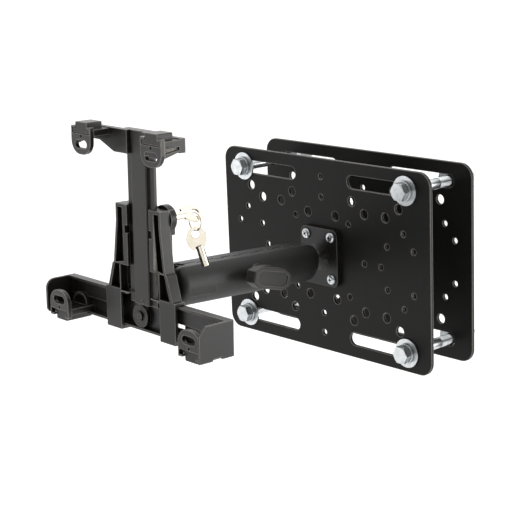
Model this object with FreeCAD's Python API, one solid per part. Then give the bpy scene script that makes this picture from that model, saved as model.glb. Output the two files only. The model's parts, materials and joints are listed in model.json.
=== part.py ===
"""Forklift tablet mount, in millimetres.

Two slotted plates clamp round a pillar with four hex bolts.  A ball on the front plate, a
two-shell arm with a wing knob and a second ball carry a lockable tablet holder.

Frame: origin at the centre of the front plate's inner face, X across the plates, Y from the
holder towards the pillar, Z up.
"""
import FreeCAD, Part
import math
import os

V = FreeCAD.Vector

# Clamp plates
plate_width = 254.0
plate_height = 175.0
plate_thick = 3.0
plate_corner_r = 12.7
clamp_gap = 50.0
slot_edge = 17.1
slot_margin = 20.0
slot_length = 75.0
slot_width = 11.8
big_hole_r = 4.25
small_hole_r = 2.65
big_holes = [(91.7, 53.4), (76.5, 44.0), (37.2, 53.5), (51.8, 43.8), (17.0, 37.8)]
small_holes = [(97.0, 32.8), (32.8, 32.8)]
middle_column = [53.0, 71.2]
middle_row = [51.2, 70.8]
base_pattern_x = 30.17
base_pattern_z = 38.1
side_pattern_offset = 93.1

# Clamp bolts, washers and nuts
bolt_from_slot_end = 7.0
bolt_r = 4.75
bolt_length = 88.9
bolt_head_across = 14.3
bolt_head_height = 6.2
flat_washer_r = 12.7
flat_washer_thick = 1.8
spring_washer_r = 8.65
spring_washer_thick = 2.4
spring_washer_slit = 1.6
washer_bore_gap = 0.35
nut_height = 8.3
thread_gap = 0.06

# Ball and socket, the same at both ends
ball_r = 12.7
cover_thick = 1.8
cover_gap = 0.05
stem_r = 5.3
socket_gap = 0.25
ring_thick = 0.5
ring_mouth_angle = 52.0
ring_rear_angle = 72.0

# Ball base on the front plate
ball_a_reach = 30.0
base_width = 45.0
base_height = 52.0
base_thick = 4.5
base_corner_r = 6.0
base_boss_r = 13.0
screw_r = 2.4
screw_head_r = 4.6
screw_head_height = 2.6
screw_gap = 0.1
screw_cross_turn = 25.0

# Arm
arm_length = 130.0
arm_rise = 7.0
arm_width = 36.0
arm_height = 38.0
arm_corner_r = 8.0
arm_end_reach = 14.0
arm_end_r = 6.0
arm_seam = 0.8
arm_tab_count = 6
arm_tab_pitch = 19.5
arm_tab_length = 9.0
arm_tab_reach = 3.4
arm_tab_depth = 4.0
arm_tab_gap = 0.5
arm_wall = 4.0
arm_mid_block = 26.0
arm_socket_wall = 5.0
mouth_angle = 41.0
mouth_slot_length = 12.0
label_recess_length = 27.0
label_recess_height = 8.0
label_recess_depth = 0.4
clamp_bolt_r = 4.0
clamp_bolt_gap = 0.3
clamp_head_across = 13.0
clamp_head_height = 5.5
arm_spring_r = 7.0
arm_spring_wire_r = 0.7
arm_spring_turns = 3
knob_washer_r = 8.5
knob_washer_thick = 1.5
knob_hub_r = 9.0
knob_hub_length = 8.0
knob_wing_length = 42.0
knob_wing_height = 18.0
knob_wing_thick = 10.0
knob_tip_height = 10.0
knob_panel_depth = 0.8
knob_turn = 11.5
knob_insert_r = 6.0

# Holder: its own frame has its origin at the second ball's centre
holder_pitch = -1.4
holder_roll = 0.8
face_y = -46.0
cheek_depth = 10.0
back_wall = 3.0
cheek_top = 69.8
cheek_step = 20.8
cheek_foot = -3.0
cheek_half_top = 28.5
cheek_half_step = 33.0
cheek_half_foot = 42.0
cheek_wall = 2.2
cheek_straight = 14.0
cheek_ledge = 2.0
stop_notch_top = 17.0
stop_notch_height = 6.0
rim_inner = 14.0
rim_outer = 20.0
rim_thick = 3.0
window_outer = 24.5
leg_inner = 25.0
leg_outer = 44.5
leg_top = -0.8
leg_bottom = -35.2
leg_wall = 2.2
slide_gap = 0.3

# Slide bar
bar_bottom = -10.2
bar_top = 130.4
bar_half = 9.5
bar_flange_half = 17.2
bar_flange_thick = 2.0
bar_thick = 4.6
rack_half = 6.0
rack_pitch = 4.0
rack_gap = 2.4
rack_depth = 2.0
rack_teeth = 24
rivet_r = 1.3
rivet_rise = 3.0
rivet_x = 1.5

# Lower tray
tray_half = 102.5
tray_top = -3.3
tray_bottom = -32.2
tray_depth = 7.3
tray_wall = 2.0
end_wall_front = -70.6
left_wall_front = -66.3
left_wall_foot_round = 5.0
end_wall_chamfer_y = 6.5
end_wall_chamfer_z = 7.2
end_wall_round = 8.0
end_notch_front = -57.0
end_notch_back = -48.0
end_notch_rise = 1.8
tray_window_x = 41.6
tray_window_width = 10.0
tray_window_height = 4.6
tray_window_top = -18.2
tray_ledge_depth = 2.6
tray_ledge_inner = 33.0
tray_ledge_groove = 0.9

# Lips and their rails
lip_front_y = -66.0
lip_width = 25.5
lip_depth = 3.8
lip_corner_r = 11.0
lip_slot_length = 15.2
lip_slot_height = 6.5
lip_slot_from_tip = 8.3
lip_screw_from_tip = 14.8
lip_screw_r = 1.35
lip_height = 22.6
rail_wide = 23.0
rail_wide_thick = 3.6
rail_narrow = 15.2
rail_narrow_thick = 5.4
rail_from_tip = 17.0
rail_gap = 0.3
rail_round = 1.2
rail_ridge_back = -50.3
rail_set_back = 0.6
low_rail_set_back = 2.6
carrier_rim = 1.5
carrier_from_tip = 5.5
carrier_half = 10.0
carrier_wall = 2.0
carrier_recess = 1.2
top_lip_spacing = 89.0
bottom_lip_inset = 18.2
top_lip_tip = 109.0
bottom_lip_tip = -9.6

# Top bracket
bracket_top = 130.4
bracket_height = 11.4
bracket_thick = 5.4
bracket_pocket = 3.0
bracket_pad = 4.0
bracket_clasp = 3.5
bracket_gusset_drop = 7.8
bracket_gusset_inner = 26.8
bracket_gusset_outer = 45.5
bracket_screw_x = 7.0
bracket_screw_drop = 10.0
bracket_arm_width = 24.0
arm_block_from_tip = 15.2
brace_front_from_tip = 7.4
brace_rear_from_tip = 11.2
brace_top_from_tip = 10.9
brace_thick = 1.8
brace_post = 0.6

# Rear cover and ball base on the holder
cover_half = 13.5
cover_back_y = -22.0
cover_bottom = -20.2
cover_top = 52.4
cover_wall = 2.5
round_base_r = 17.0
round_base_thick = 3.0
round_base_pcd = 25.0
round_screw_r = 1.4
lid_screw_x = -23.0
lid_screw_drop = 6.0
lid_screw_rise = 3.6
round_screw_head_r = 2.6

# Spring drum
drum_x = -4.5
drum_z = -20.7
drum_coil_r = 6.0
drum_flange_r = 9.5
drum_width = 4.0
drum_flange_thick = 0.8
drum_pin_r = 2.0
drum_hub_r = 4.0
strip_thick = 0.4

# Lock, pawl and keys
lock_x = 19.5
lock_z = 61.9
lock_boss_r = 10.9
lock_back_y = -30.0
barrel_r = 8.0
barrel_flange_r = 9.0
barrel_flange_thick = 1.6
barrel_nose_r = 4.9
barrel_nose_length = 3.4
cover_lid = 1.6
plug_r = 4.1
running_gap = 0.05
cam_reach = 9.6
cam_width = 4.4
cam_thick = 1.4
cam_lap = 1.1
pawl_half = 5.4
pawl_thick = 1.7
pawl_travel = 1.8
pawl_tail_thick = 1.8
pawl_tail_half = 2.6
pawl_tail_to_lock = 6.5
key_bow_width = 17.0
key_bow_length = 18.0
key_bow_thick = 1.8
key_bow_overlap = 2.0
key_bow_shoulder = 4.0
key_bow_taper = 8.0
key_bow_tip = 2.5
key_hole_edge = 2.2
key_hole_r = 3.5
key_shank_r = 3.2
key_shank_bore_r = 2.1
key_shank_length = 17.0
key_shank_in_lock = 5.0
key_rest_turn = -45.0
ring_r = 7.3
ring_wire_r = 0.65
spare_lean = 16.5
spare_turn = -42.0

parts = {}


def box(x0, x1, y0, y1, z0, z1):
    """Box between two corners."""
    return Part.makeBox(x1 - x0, y1 - y0, z1 - z0, V(x0, y0, z0))


def cyl(r, length, base, axis):
    """Cylinder from its base centre along an axis."""
    return Part.makeCylinder(r, length, V(*base), V(*axis))


def prism_y(points, y0, y1):
    """Prism along Y of an outline given as (x, z) points."""
    wire = Part.makePolygon([V(x, y0, z) for x, z in points + points[:1]])
    return Part.Face(wire).extrude(V(0, y1 - y0, 0))


def prism_x(points, x0, x1):
    """Prism along X of an outline given as (y, z) points."""
    wire = Part.makePolygon([V(x0, y, z) for y, z in points + points[:1]])
    return Part.Face(wire).extrude(V(x1 - x0, 0, 0))


def rounded_plate(width, height, y0, y1, r):
    """Upright plate with round corners, centred on the Y axis."""
    plate = box(-width / 2, width / 2, y0, y1, -height / 2, height / 2)
    return plate.makeFillet(r, edges_along(plate, V(0, 1, 0)))


def edges_along(shape, axis, test=None):
    """Straight edges parallel to an axis, kept where test(mid point) holds."""
    found = []
    for edge in shape.Edges:
        if len(edge.Vertexes) != 2:
            continue
        run = edge.Vertexes[1].Point - edge.Vertexes[0].Point
        if run.Length < 1e-6 or abs(abs(run.normalize().dot(axis)) - 1) > 1e-6:
            continue
        middle = (edge.Vertexes[1].Point + edge.Vertexes[0].Point) * 0.5
        if test is None or test(middle):
            found.append(edge)
    return found


def slot_y(x0, x1, z, r, y0, y1):
    """Cutter for a round-ended slot that runs along X."""
    body = box(x0 + r, x1 - r, y0, y1, z - r, z + r)
    ends = [cyl(r, y1 - y0, (x, y0, z), (0, 1, 0)) for x in (x0 + r, x1 - r)]
    return body.fuse(ends).removeSplitter()


def hexagon_y(across, y0, y1, x=0.0, z=0.0):
    """Hexagonal prism along Y with two corners on the X side."""
    corner = across / math.sqrt(3)
    points = [
        (x + corner * math.cos(math.radians(60 * k)), z + corner * math.sin(math.radians(60 * k)))
        for k in range(6)
    ]
    return prism_y(points, y0, y1)


def turned_y(profile):
    """Solid of revolution about the Y axis of an outline given as (radius, y) points."""
    wire = Part.makePolygon([V(r, y, 0) for r, y in profile + profile[:1]])
    return Part.Face(wire).revolve(V(0, 0, 0), V(0, 1, 0), 360)


def moved(shape, x=0.0, y=0.0, z=0.0):
    """Copy of a shape, moved."""
    copy = shape.copy()
    copy.translate(V(x, y, z))
    return copy


def turned(shape, centre, axis, angle):
    """Copy of a shape, turned about an axis through a point."""
    copy = shape.copy()
    copy.rotate(V(*centre), V(*axis), angle)
    return copy


def mirrored_x(shape):
    """Copy of a shape, mirrored left to right."""
    return shape.mirror(V(0, 0, 0), V(1, 0, 0))


# Derived places shared by the sub-assemblies
slot_rise = plate_height / 2 - slot_edge
slot_outer_end = plate_width / 2 - slot_margin
slot_inner_end = slot_outer_end - slot_length
bolt_rest_x = slot_outer_end - bolt_from_slot_end
bottom_lip_spacing = 2 * (tray_half - bottom_lip_inset)
front_face_y = -plate_thick
ball_a = V(0, front_face_y - ball_a_reach, 0)
arm_slope = math.degrees(math.asin(arm_rise / arm_length))
ball_b = V(0, ball_a.y - arm_length * math.cos(math.radians(arm_slope)), arm_rise)
ring_in_r = ball_r + socket_gap
ring_out_r = ring_in_r + ring_thick
cavity_r = ring_out_r + socket_gap
wall_y = face_y + cheek_depth - back_wall
bar_back_y = wall_y - slide_gap
bar_front_y = bar_back_y - bar_thick
cheek_back_y = face_y + cheek_depth


def to_arm(shape):
    """Take a shape from the arm's frame (origin at the first ball) to its place."""
    placed = moved(shape, ball_a.x, ball_a.y, ball_a.z)
    return turned(placed, (ball_a.x, ball_a.y, ball_a.z), (1, 0, 0), -arm_slope)


def to_holder(shape):
    """Take a shape from the holder's frame (origin at the second ball) to its place."""
    tilt = turned(shape, (0, 0, 0), (1, 0, 0), holder_pitch)
    tilt = turned(tilt, (0, 0, 0), (0, 1, 0), holder_roll)
    return moved(tilt, ball_b.x, ball_b.y, ball_b.z)


def quadrants(points):
    """The four mirror places of each (x, z) point."""
    return [(sx * x, sz * z) for x, z in points for sx in (1, -1) for sz in (1, -1)]


def clamp_plate(y0):
    """One clamp plate: outline, four bolt slots and the hole pattern."""
    y1 = y0 + plate_thick
    plate = rounded_plate(plate_width, plate_height, y0, y1, plate_corner_r)
    cutters = []
    for side in (1, -1):
        for rise in (slot_rise, -slot_rise):
            ends = sorted((side * slot_inner_end, side * slot_outer_end))
            cutters.append(slot_y(ends[0], ends[1], rise, slot_width / 2, y0, y1))
    pattern = [(base_pattern_x / 2, base_pattern_z / 2)]
    side_pattern = [(side_pattern_offset + s * base_pattern_x / 2, base_pattern_z / 2) for s in (1, -1)]
    small = quadrants(small_holes + side_pattern)
    small += [(0, s * z) for z in middle_column for s in (1, -1)]
    small += [(s * x, 0) for x in middle_row for s in (1, -1)]
    for x, z in quadrants(big_holes):
        cutters.append(cyl(big_hole_r, plate_thick, (x, y0, z), (0, 1, 0)))
    for x, z in small:
        cutters.append(cyl(small_hole_r, plate_thick, (x, y0, z), (0, 1, 0)))
    for x, z in quadrants(pattern):
        cutters.append(cyl(small_hole_r, plate_thick, (x, y0, z), (0, 1, 0)))
    return plate.cut(Part.makeCompound(cutters))


def clamp_bolt_set():
    """Bolt, front washers, nut and rear washer, centred on the Y axis."""
    flat_y = front_face_y - flat_washer_thick
    head_y = flat_y - spring_washer_thick
    shank = cyl(bolt_r, bolt_length, (0, head_y, 0), (0, 1, 0))
    shank = shank.makeChamfer(0.8, [e for e in shank.Edges if abs(e.CenterOfMass.y - head_y - bolt_length) < 0.01])
    head = hexagon_y(bolt_head_across, head_y - bolt_head_height, head_y)
    crown = turned_y([
        (0, head_y), (bolt_head_across * 0.6, head_y), (bolt_head_across * 0.6, head_y - bolt_head_height + 0.9),
        (bolt_head_across * 0.48, head_y - bolt_head_height), (0, head_y - bolt_head_height),
    ])
    bolt = shank.fuse(head.common(crown)).removeSplitter()

    bore_r = bolt_r + washer_bore_gap
    flat = cyl(flat_washer_r, flat_washer_thick, (0, flat_y, 0), (0, 1, 0))
    flat = flat.cut(cyl(bore_r, flat_washer_thick, (0, flat_y, 0), (0, 1, 0)))
    spring = cyl(spring_washer_r, spring_washer_thick, (0, head_y, 0), (0, 1, 0))
    spring = spring.cut(cyl(bore_r, spring_washer_thick, (0, head_y, 0), (0, 1, 0)))
    slit = box(0, flat_washer_r, head_y, head_y + spring_washer_thick, -spring_washer_slit / 2, spring_washer_slit / 2)
    spring = spring.cut(turned(slit, (0, 0, 0), (0, 1, 0), 205))

    rear_y = clamp_gap + plate_thick
    rear_bore_r = bolt_r + thread_gap
    rear = cyl(flat_washer_r, flat_washer_thick, (0, rear_y, 0), (0, 1, 0))
    rear = rear.cut(cyl(bore_r, flat_washer_thick, (0, rear_y, 0), (0, 1, 0)))
    nut_y = rear_y + flat_washer_thick
    nut = hexagon_y(bolt_head_across, nut_y, nut_y + nut_height)
    nut_crown = turned_y([
        (0, nut_y), (bolt_head_across * 0.6, nut_y), (bolt_head_across * 0.6, nut_y + nut_height - 0.9),
        (bolt_head_across * 0.48, nut_y + nut_height), (0, nut_y + nut_height),
    ])
    nut = nut.common(nut_crown).cut(cyl(rear_bore_r, nut_height, (0, nut_y, 0), (0, 1, 0)))
    return bolt, Part.makeCompound([flat, spring]), nut, rear


def build_clamp():
    """Both plates and the four bolt sets."""
    parts["front_plate"] = clamp_plate(front_face_y)
    parts["rear_plate"] = clamp_plate(clamp_gap)
    bolt, washers, nut, rear = clamp_bolt_set()
    corners = {"top_left": (-1, 1), "top_right": (1, 1), "bottom_left": (-1, -1), "bottom_right": (1, -1)}
    for name, (sx, sz) in corners.items():
        for piece, shape in (("bolt", bolt), ("bolt_washers", washers), ("nut", nut), ("nut_washer", rear)):
            parts[piece + "_" + name] = moved(shape, sx * bolt_rest_x, 0, sz * slot_rise)


def ball_and_stem(stem_end):
    """Ball core with its stem along +Y up to stem_end, and the rubber cover, round the origin."""
    core_r = ball_r - cover_thick
    stem = cyl(stem_r, stem_end, (0, 0, 0), (0, 1, 0))
    core = Part.makeSphere(core_r).fuse(stem).removeSplitter()
    cover = Part.makeSphere(ball_r).cut(Part.makeSphere(core_r + cover_gap))
    cover = cover.cut(cyl(stem_r + cover_gap, stem_end, (0, 0, 0), (0, 1, 0)))
    return core, cover


def socket_ring():
    """Thin band of a hollow sphere round the ball, near the socket's mouth on the +Y side."""
    band = Part.makeSphere(ring_out_r).cut(Part.makeSphere(ring_in_r))
    reach = ring_out_r * 2
    mouth_y = ring_out_r * math.cos(math.radians(ring_mouth_angle))
    rear_y = ring_out_r * math.cos(math.radians(ring_rear_angle))
    return band.common(box(-reach, reach, rear_y, mouth_y, -reach, reach))


def build_ball_base_a():
    """Rectangular ball base with its four screws, and the ring of the arm's socket."""
    core, cover = ball_and_stem(ball_a_reach - base_thick / 2)
    flange_y = front_face_y - base_thick
    flange = rounded_plate(base_width, base_height, flange_y, front_face_y, base_corner_r)
    boss_y = flange_y - ball_a.y
    boss = turned_y([
        (0, boss_y + base_thick / 2), (base_boss_r, boss_y + base_thick / 2), (base_boss_r, boss_y),
        (stem_r + 2.2, boss_y - 4.0), (stem_r, boss_y - 7.0), (0, boss_y - 7.0),
    ])
    base = core.fuse(boss)
    base = flange.fuse(moved(base, 0, ball_a.y, 0))
    screws = []
    for x, z in quadrants([(base_pattern_x / 2, base_pattern_z / 2)]):
        base = base.cut(cyl(screw_r + screw_gap, base_thick, (x, flange_y, z), (0, 1, 0)))
        shank = cyl(screw_r, base_thick + plate_thick, (x, flange_y, z), (0, 1, 0))
        dome = Part.makeSphere(screw_head_r * 1.35)
        dome.translate(V(x, flange_y + screw_head_r * 1.35 - screw_head_height, z))
        head = cyl(screw_head_r, screw_head_height, (x, flange_y - screw_head_height, z), (0, 1, 0)).common(dome)
        recess = box(x - 0.5, x + 0.5, flange_y - screw_head_height, flange_y - 1.2, z - 2.4, z + 2.4)
        cross = recess.fuse(turned(recess, (x, 0, z), (0, 1, 0), 90))
        screws.append(shank.fuse(head).removeSplitter().cut(turned(cross, (x, 0, z), (0, 1, 0), screw_cross_turn + x)))
    parts["ball_base_front"] = base.removeSplitter()
    parts["ball_cover_front"] = moved(cover, 0, ball_a.y, 0)
    parts["base_screws"] = Part.makeCompound(screws)
    parts["socket_ring_front"] = to_arm(socket_ring())


def arm_tabs(gap):
    """Blocks of the interlocking tabs along the arm's top and bottom seams."""
    blocks = []
    first = -arm_length / 2 - (arm_tab_count - 1) * arm_tab_pitch / 2
    for k in range(arm_tab_count):
        middle = first + k * arm_tab_pitch
        for side in (1, -1):
            zs = sorted((side * (arm_height / 2 + 1), side * (arm_height / 2 - arm_tab_depth - gap)))
            half = arm_tab_length / 2 + gap
            blocks.append(box(-arm_seam / 2, arm_tab_reach + gap, middle - half, middle + half, zs[0], zs[1]))
    return Part.makeCompound(blocks)


def mouth_cutter():
    """Cutter of one socket: spherical cavity, flared mouth and the slot the stem swings in."""
    flare_start = cavity_r * math.cos(math.radians(mouth_angle))
    flare_r = cavity_r * math.sin(math.radians(mouth_angle))
    flare_end = arm_end_reach + 1
    cone = Part.makeCone(flare_r, flare_r + (flare_end - flare_start) * 0.45, flare_end - flare_start,
                         V(0, flare_start, 0), V(0, 1, 0))
    slot = box(-stem_r - 0.6, stem_r + 0.6, arm_end_reach - mouth_slot_length, flare_end, -arm_height, arm_height)
    return Part.makeSphere(cavity_r).fuse([cone, slot])


def arm_body():
    """Arm before it is split: rounded bar with both sockets, bolt bore and lightening hollows."""
    half_w, half_h = arm_width / 2, arm_height / 2
    rear_end = -arm_length - arm_end_reach
    bar = box(-half_w, half_w, rear_end, arm_end_reach, -half_h, half_h)
    bar = bar.makeFillet(arm_corner_r, edges_along(bar, V(0, 1, 0)))
    ends = [e for e in bar.Edges if min(abs(e.CenterOfMass.y - y) for y in (rear_end, arm_end_reach)) < 0.01]
    bar = bar.makeFillet(arm_end_r, ends)
    socket_a = mouth_cutter()
    socket_b = moved(turned(mouth_cutter(), (0, 0, 0), (0, 0, 1), 180), 0, -arm_length, 0)
    hollow_in = cavity_r + arm_socket_wall
    middle = -arm_length / 2
    in_w, in_h = half_w - arm_wall, half_h - arm_wall
    hollows = [
        box(-in_w, in_w, middle + arm_mid_block / 2, -hollow_in, -in_h, in_h),
        box(-in_w, in_w, -arm_length + hollow_in, middle - arm_mid_block / 2, -in_h, in_h),
    ]
    bore = cyl(clamp_bolt_r + clamp_bolt_gap, arm_width, (-half_w, middle, 0), (1, 0, 0))
    spring_room = cyl(arm_spring_r + 1, arm_spring_room(), (-arm_spring_room() / 2, middle, 0), (1, 0, 0))
    head_room = hexagon_x(clamp_head_across + 0.4, -half_w, -half_w + clamp_head_height, middle)
    label = box(half_w - label_recess_depth, half_w, -arm_length + 10, -arm_length + 10 + label_recess_length,
                -label_recess_height / 2, label_recess_height / 2)
    return bar.cut([socket_a, socket_b, bore, spring_room, head_room, label] + hollows)


def arm_spring_room():
    """Length of the pocket that the spring between the shells sits in."""
    return 2 * arm_spring_wire_r * (arm_spring_turns + 1) * 1.8


def hexagon_x(across, x0, x1, y):
    """Hexagonal prism along X at a place on Y."""
    corner = across / math.sqrt(3)
    points = [
        (y + corner * math.cos(math.radians(60 * k)), corner * math.sin(math.radians(60 * k)))
        for k in range(6)
    ]
    return prism_x(points, x0, x1)


def knob_outline(length, height, tip_height):
    """Half-turn symmetric outline of the wing as (y, z) points."""
    shoulder = length / 2 - (height - tip_height)
    return [
        (-length / 2, -tip_height / 2), (-shoulder, -height / 2), (shoulder, -height / 2), (length / 2, -tip_height / 2),
        (length / 2, tip_height / 2), (shoulder, height / 2), (-shoulder, height / 2), (-length / 2, tip_height / 2),
    ]


def build_arm():
    """Both shells, the clamp bolt with its spring, the washer and the wing knob."""
    middle = -arm_length / 2
    half_w = arm_width / 2
    body = arm_body()
    reach = arm_length * 2
    right_half = body.common(box(arm_seam / 2, reach, -reach, reach, -reach, reach))
    left_half = body.common(box(-reach, -arm_seam / 2, -reach, reach, -reach, reach))
    parts["arm_shell_right"] = to_arm(right_half.cut(arm_tabs(arm_tab_gap)))
    parts["arm_shell_left"] = to_arm(left_half.fuse(body.common(arm_tabs(0.0))).removeSplitter())

    knob_x = half_w + knob_washer_thick
    knob_top = knob_x + knob_hub_length + knob_wing_thick
    head = hexagon_x(clamp_head_across, -half_w, -half_w + clamp_head_height, middle)
    shank = cyl(clamp_bolt_r, knob_top - 4 + half_w, (-half_w, middle, 0), (1, 0, 0))
    parts["clamp_bolt"] = to_arm(shank.fuse(head).removeSplitter())
    washer = cyl(knob_washer_r, knob_washer_thick, (half_w, middle, 0), (1, 0, 0))
    parts["knob_washer"] = to_arm(washer.cut(cyl(clamp_bolt_r + clamp_bolt_gap, knob_washer_thick,
                                                 (half_w, middle, 0), (1, 0, 0))))
    room = arm_spring_room() - 2 * arm_spring_wire_r - 0.6
    helix = Part.makeHelix(room / arm_spring_turns, room, arm_spring_r - arm_spring_wire_r)
    section = Part.Wire(Part.makeCircle(arm_spring_wire_r, V(arm_spring_r - arm_spring_wire_r, 0, 0), V(0, 1, 0)))
    coil = Part.Wire(helix.Edges).makePipeShell([section], True, True)
    coil = turned(coil, (0, 0, 0), (0, 1, 0), 90)
    parts["arm_spring"] = to_arm(moved(coil, -room / 2, middle, 0))

    bore_r = clamp_bolt_r + running_gap
    insert = cyl(knob_insert_r, knob_hub_length + knob_wing_thick / 2, (knob_x, middle, 0), (1, 0, 0))
    bore = cyl(bore_r, knob_top - knob_x - 3, (knob_x, middle, 0), (1, 0, 0))
    hub = Part.makeCone(knob_hub_r, knob_hub_r + 1.5, knob_hub_length + 1, V(knob_x, middle, 0), V(1, 0, 0))
    outline = [(middle + y, z) for y, z in knob_outline(knob_wing_length, knob_wing_height, knob_tip_height)]
    wing = prism_x(outline, knob_top - knob_wing_thick, knob_top)
    wing = wing.makeFillet(1.6, edges_along(wing, V(1, 0, 0)))
    wing = wing.makeChamfer(1.0, [e for e in wing.Edges if abs(e.CenterOfMass.x - knob_top) < 0.01])
    panel = [(middle + y, z) for y, z in
             knob_outline(knob_wing_length - 8, knob_wing_height - 6, knob_tip_height - 3)]
    wing = wing.cut(prism_x(panel, knob_top - knob_panel_depth, knob_top))
    knob = hub.fuse(wing).cut([insert, bore]).removeSplitter()
    centre = (knob_x, middle, 0)
    parts["wing_knob"] = to_arm(turned(knob, centre, (1, 0, 0), -knob_turn))
    parts["knob_insert"] = to_arm(insert.cut(bore))


def build_ball_base_b():
    """Round ball base on the holder's cover, with its screws and the second socket ring."""
    core, cover = ball_and_stem(-cover_back_y - round_base_thick / 2)
    reach = -cover_back_y
    core = turned(core, (0, 0, 0), (0, 0, 1), 180)
    cover = turned(cover, (0, 0, 0), (0, 0, 1), 180)
    flange = turned_y([
        (0, -reach), (round_base_r, -reach), (round_base_r, -reach + round_base_thick),
        (stem_r + 3, -reach + round_base_thick), (stem_r, -reach + round_base_thick + 3),
        (0, -reach + round_base_thick + 3),
    ])
    base = core.fuse(flange)
    screws = []
    for k in range(4):
        angle = math.radians(45 + 90 * k)
        x, z = round_base_pcd / 2 * math.cos(angle), round_base_pcd / 2 * math.sin(angle)
        top = -reach + round_base_thick
        cone = Part.makeCone(round_screw_r, round_screw_head_r, round_screw_head_r - round_screw_r,
                             V(x, top - round_screw_head_r + round_screw_r, z), V(0, 1, 0))
        shank = cyl(round_screw_r, round_base_thick + cover_wall, (x, top - round_base_thick - cover_wall, z), (0, 1, 0))
        screw = cone.fuse(shank).removeSplitter()
        base = base.cut(screw)
        drive = hexagon_y(1.8, top - 0.9, top, x, z)
        screws.append(screw.cut(drive))
    parts["ball_base_holder"] = to_holder(base.removeSplitter())
    parts["ball_cover_holder"] = to_holder(cover)
    parts["ball_base_screws_holder"] = to_holder(Part.makeCompound(screws))
    ring = moved(turned(socket_ring(), (0, 0, 0), (0, 0, 1), 180), 0, -arm_length, 0)
    parts["socket_ring_holder"] = to_arm(ring)


def cheek():
    """Right cheek of the holder frame: hollow flared wall, slide rim and lower window."""
    outline = [
        (rim_inner, cheek_top), (cheek_half_top, cheek_top), (cheek_half_top, cheek_top - cheek_straight),
        (cheek_half_step, cheek_step), (cheek_half_step + cheek_ledge, cheek_step - 1.5), (cheek_half_foot, cheek_foot),
        (rim_inner, cheek_foot),
    ]
    block = prism_y(outline, face_y, cheek_back_y)
    recess = [
        (rim_outer + 0.4, cheek_top - 3), (cheek_half_top - cheek_wall, cheek_top - 3),
        (cheek_half_top - cheek_wall, cheek_top - cheek_straight - 0.5), (cheek_half_step - cheek_wall, cheek_step),
        (rim_outer - 0.6, cheek_step + 2),
    ]
    low_recess = [
        (window_outer + 1.2, cheek_step - 1), (cheek_half_step - cheek_wall + 1, cheek_step - 1),
        (cheek_half_foot - cheek_wall - 1.6, cheek_foot + 2), (window_outer + 1.2, cheek_foot + 2),
    ]
    window = box(rim_inner - 1, window_outer, face_y, wall_y, cheek_foot + 1, cheek_step - 1)
    through = box(rim_outer - 1.5, window_outer - 1, face_y, cheek_back_y, cheek_foot + 1, cheek_foot + 5)
    channel = box(0, bar_flange_half + slide_gap, face_y + rim_thick, wall_y, cheek_foot, cheek_top)
    notch = box(0, rim_inner + 3.5, face_y, wall_y, cheek_top - stop_notch_top - stop_notch_height, cheek_top - stop_notch_top)
    floor_y = cheek_back_y - 2.0
    return block.cut([prism_y(recess, face_y, floor_y), prism_y(low_recess, face_y, floor_y), window, through,
                      channel, notch])


def leg():
    """Right leg: hook that wraps the tray from the front, over the top and below."""
    tray_y1 = tray_back_y()
    front = box(leg_inner, leg_outer, face_y, face_y + leg_wall, leg_bottom, leg_top)
    foot = box(leg_inner, leg_outer, face_y, tray_y1, leg_bottom, tray_bottom - slide_gap)
    cap = box(leg_inner, leg_outer, face_y, cheek_back_y, tray_top + slide_gap, leg_top)
    return front.fuse([foot, cap])


def tray_back_y():
    """Rear face of the tray's beam, just behind the legs' front walls."""
    return face_y + leg_wall + slide_gap + tray_depth


def build_holder_frame():
    """Moulded holder body: back wall, two cheeks and two legs, with the pawl window."""
    back = prism_y([
        (-cheek_half_top, cheek_top), (cheek_half_top, cheek_top), (cheek_half_top, cheek_top - cheek_straight),
        (cheek_half_step, cheek_step), (cheek_half_foot, cheek_foot), (-cheek_half_foot, cheek_foot),
        (-cheek_half_step, cheek_step), (-cheek_half_top, cheek_top - cheek_straight),
    ], wall_y, cheek_back_y)
    right = cheek().fuse(leg())
    frame = right.fuse([mirrored_x(right), back])
    pawl_window = box(-pawl_half - slide_gap, pawl_half + slide_gap, wall_y, cheek_back_y,
                      lock_z - pawl_thick / 2 - slide_gap, lock_z + pawl_thick / 2 + slide_gap)
    cam_bore = cyl(plug_r + slide_gap, back_wall, (lock_x, wall_y, lock_z), (0, 1, 0))
    peep = box(rim_outer - 1.5, window_outer - 1, wall_y, cheek_back_y, cheek_foot + 1, cheek_foot + 5)
    parts["holder_frame"] = to_holder(frame.cut([pawl_window, cam_bore, peep, mirrored_x(peep)]).removeSplitter())


def build_slide_bar():
    """Slide bar: raised centre, two flanges, a rack of teeth on its back, and the rivet."""
    flange = box(-bar_flange_half, bar_flange_half, bar_back_y - bar_flange_thick, bar_back_y, bar_bottom, bar_top)
    rib = box(-bar_half, bar_half, bar_front_y, bar_back_y, bar_bottom, bar_top)
    rib = rib.makeChamfer(0.8, edges_along(rib, V(0, 0, 1), lambda p: p.y < bar_front_y + 0.1))
    bar = flange.fuse(rib)
    gaps = []
    for k in range(-3, rack_teeth - 3):
        middle = lock_z - k * rack_pitch
        if middle - rack_gap > bar_bottom:
            gaps.append(box(-rack_half, rack_half, bar_back_y - rack_depth, bar_back_y,
                            middle - rack_gap / 2, middle + rack_gap / 2))
    hole = cyl(rivet_r, bar_thick, (rivet_x, bar_front_y, bar_bottom + rivet_rise), (0, 1, 0))
    slit = box(rivet_x - strip_thick, rivet_x + strip_thick, bar_front_y + 1, bar_back_y, bar_bottom, bar_bottom + rivet_rise)
    parts["slide_bar"] = to_holder(bar.cut(gaps + [hole, slit]).removeSplitter())
    rivet = cyl(rivet_r, bar_thick + 0.4, (rivet_x, bar_front_y - 0.4, bar_bottom + rivet_rise), (0, 1, 0))
    parts["strip_rivet"] = to_holder(rivet)


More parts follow.
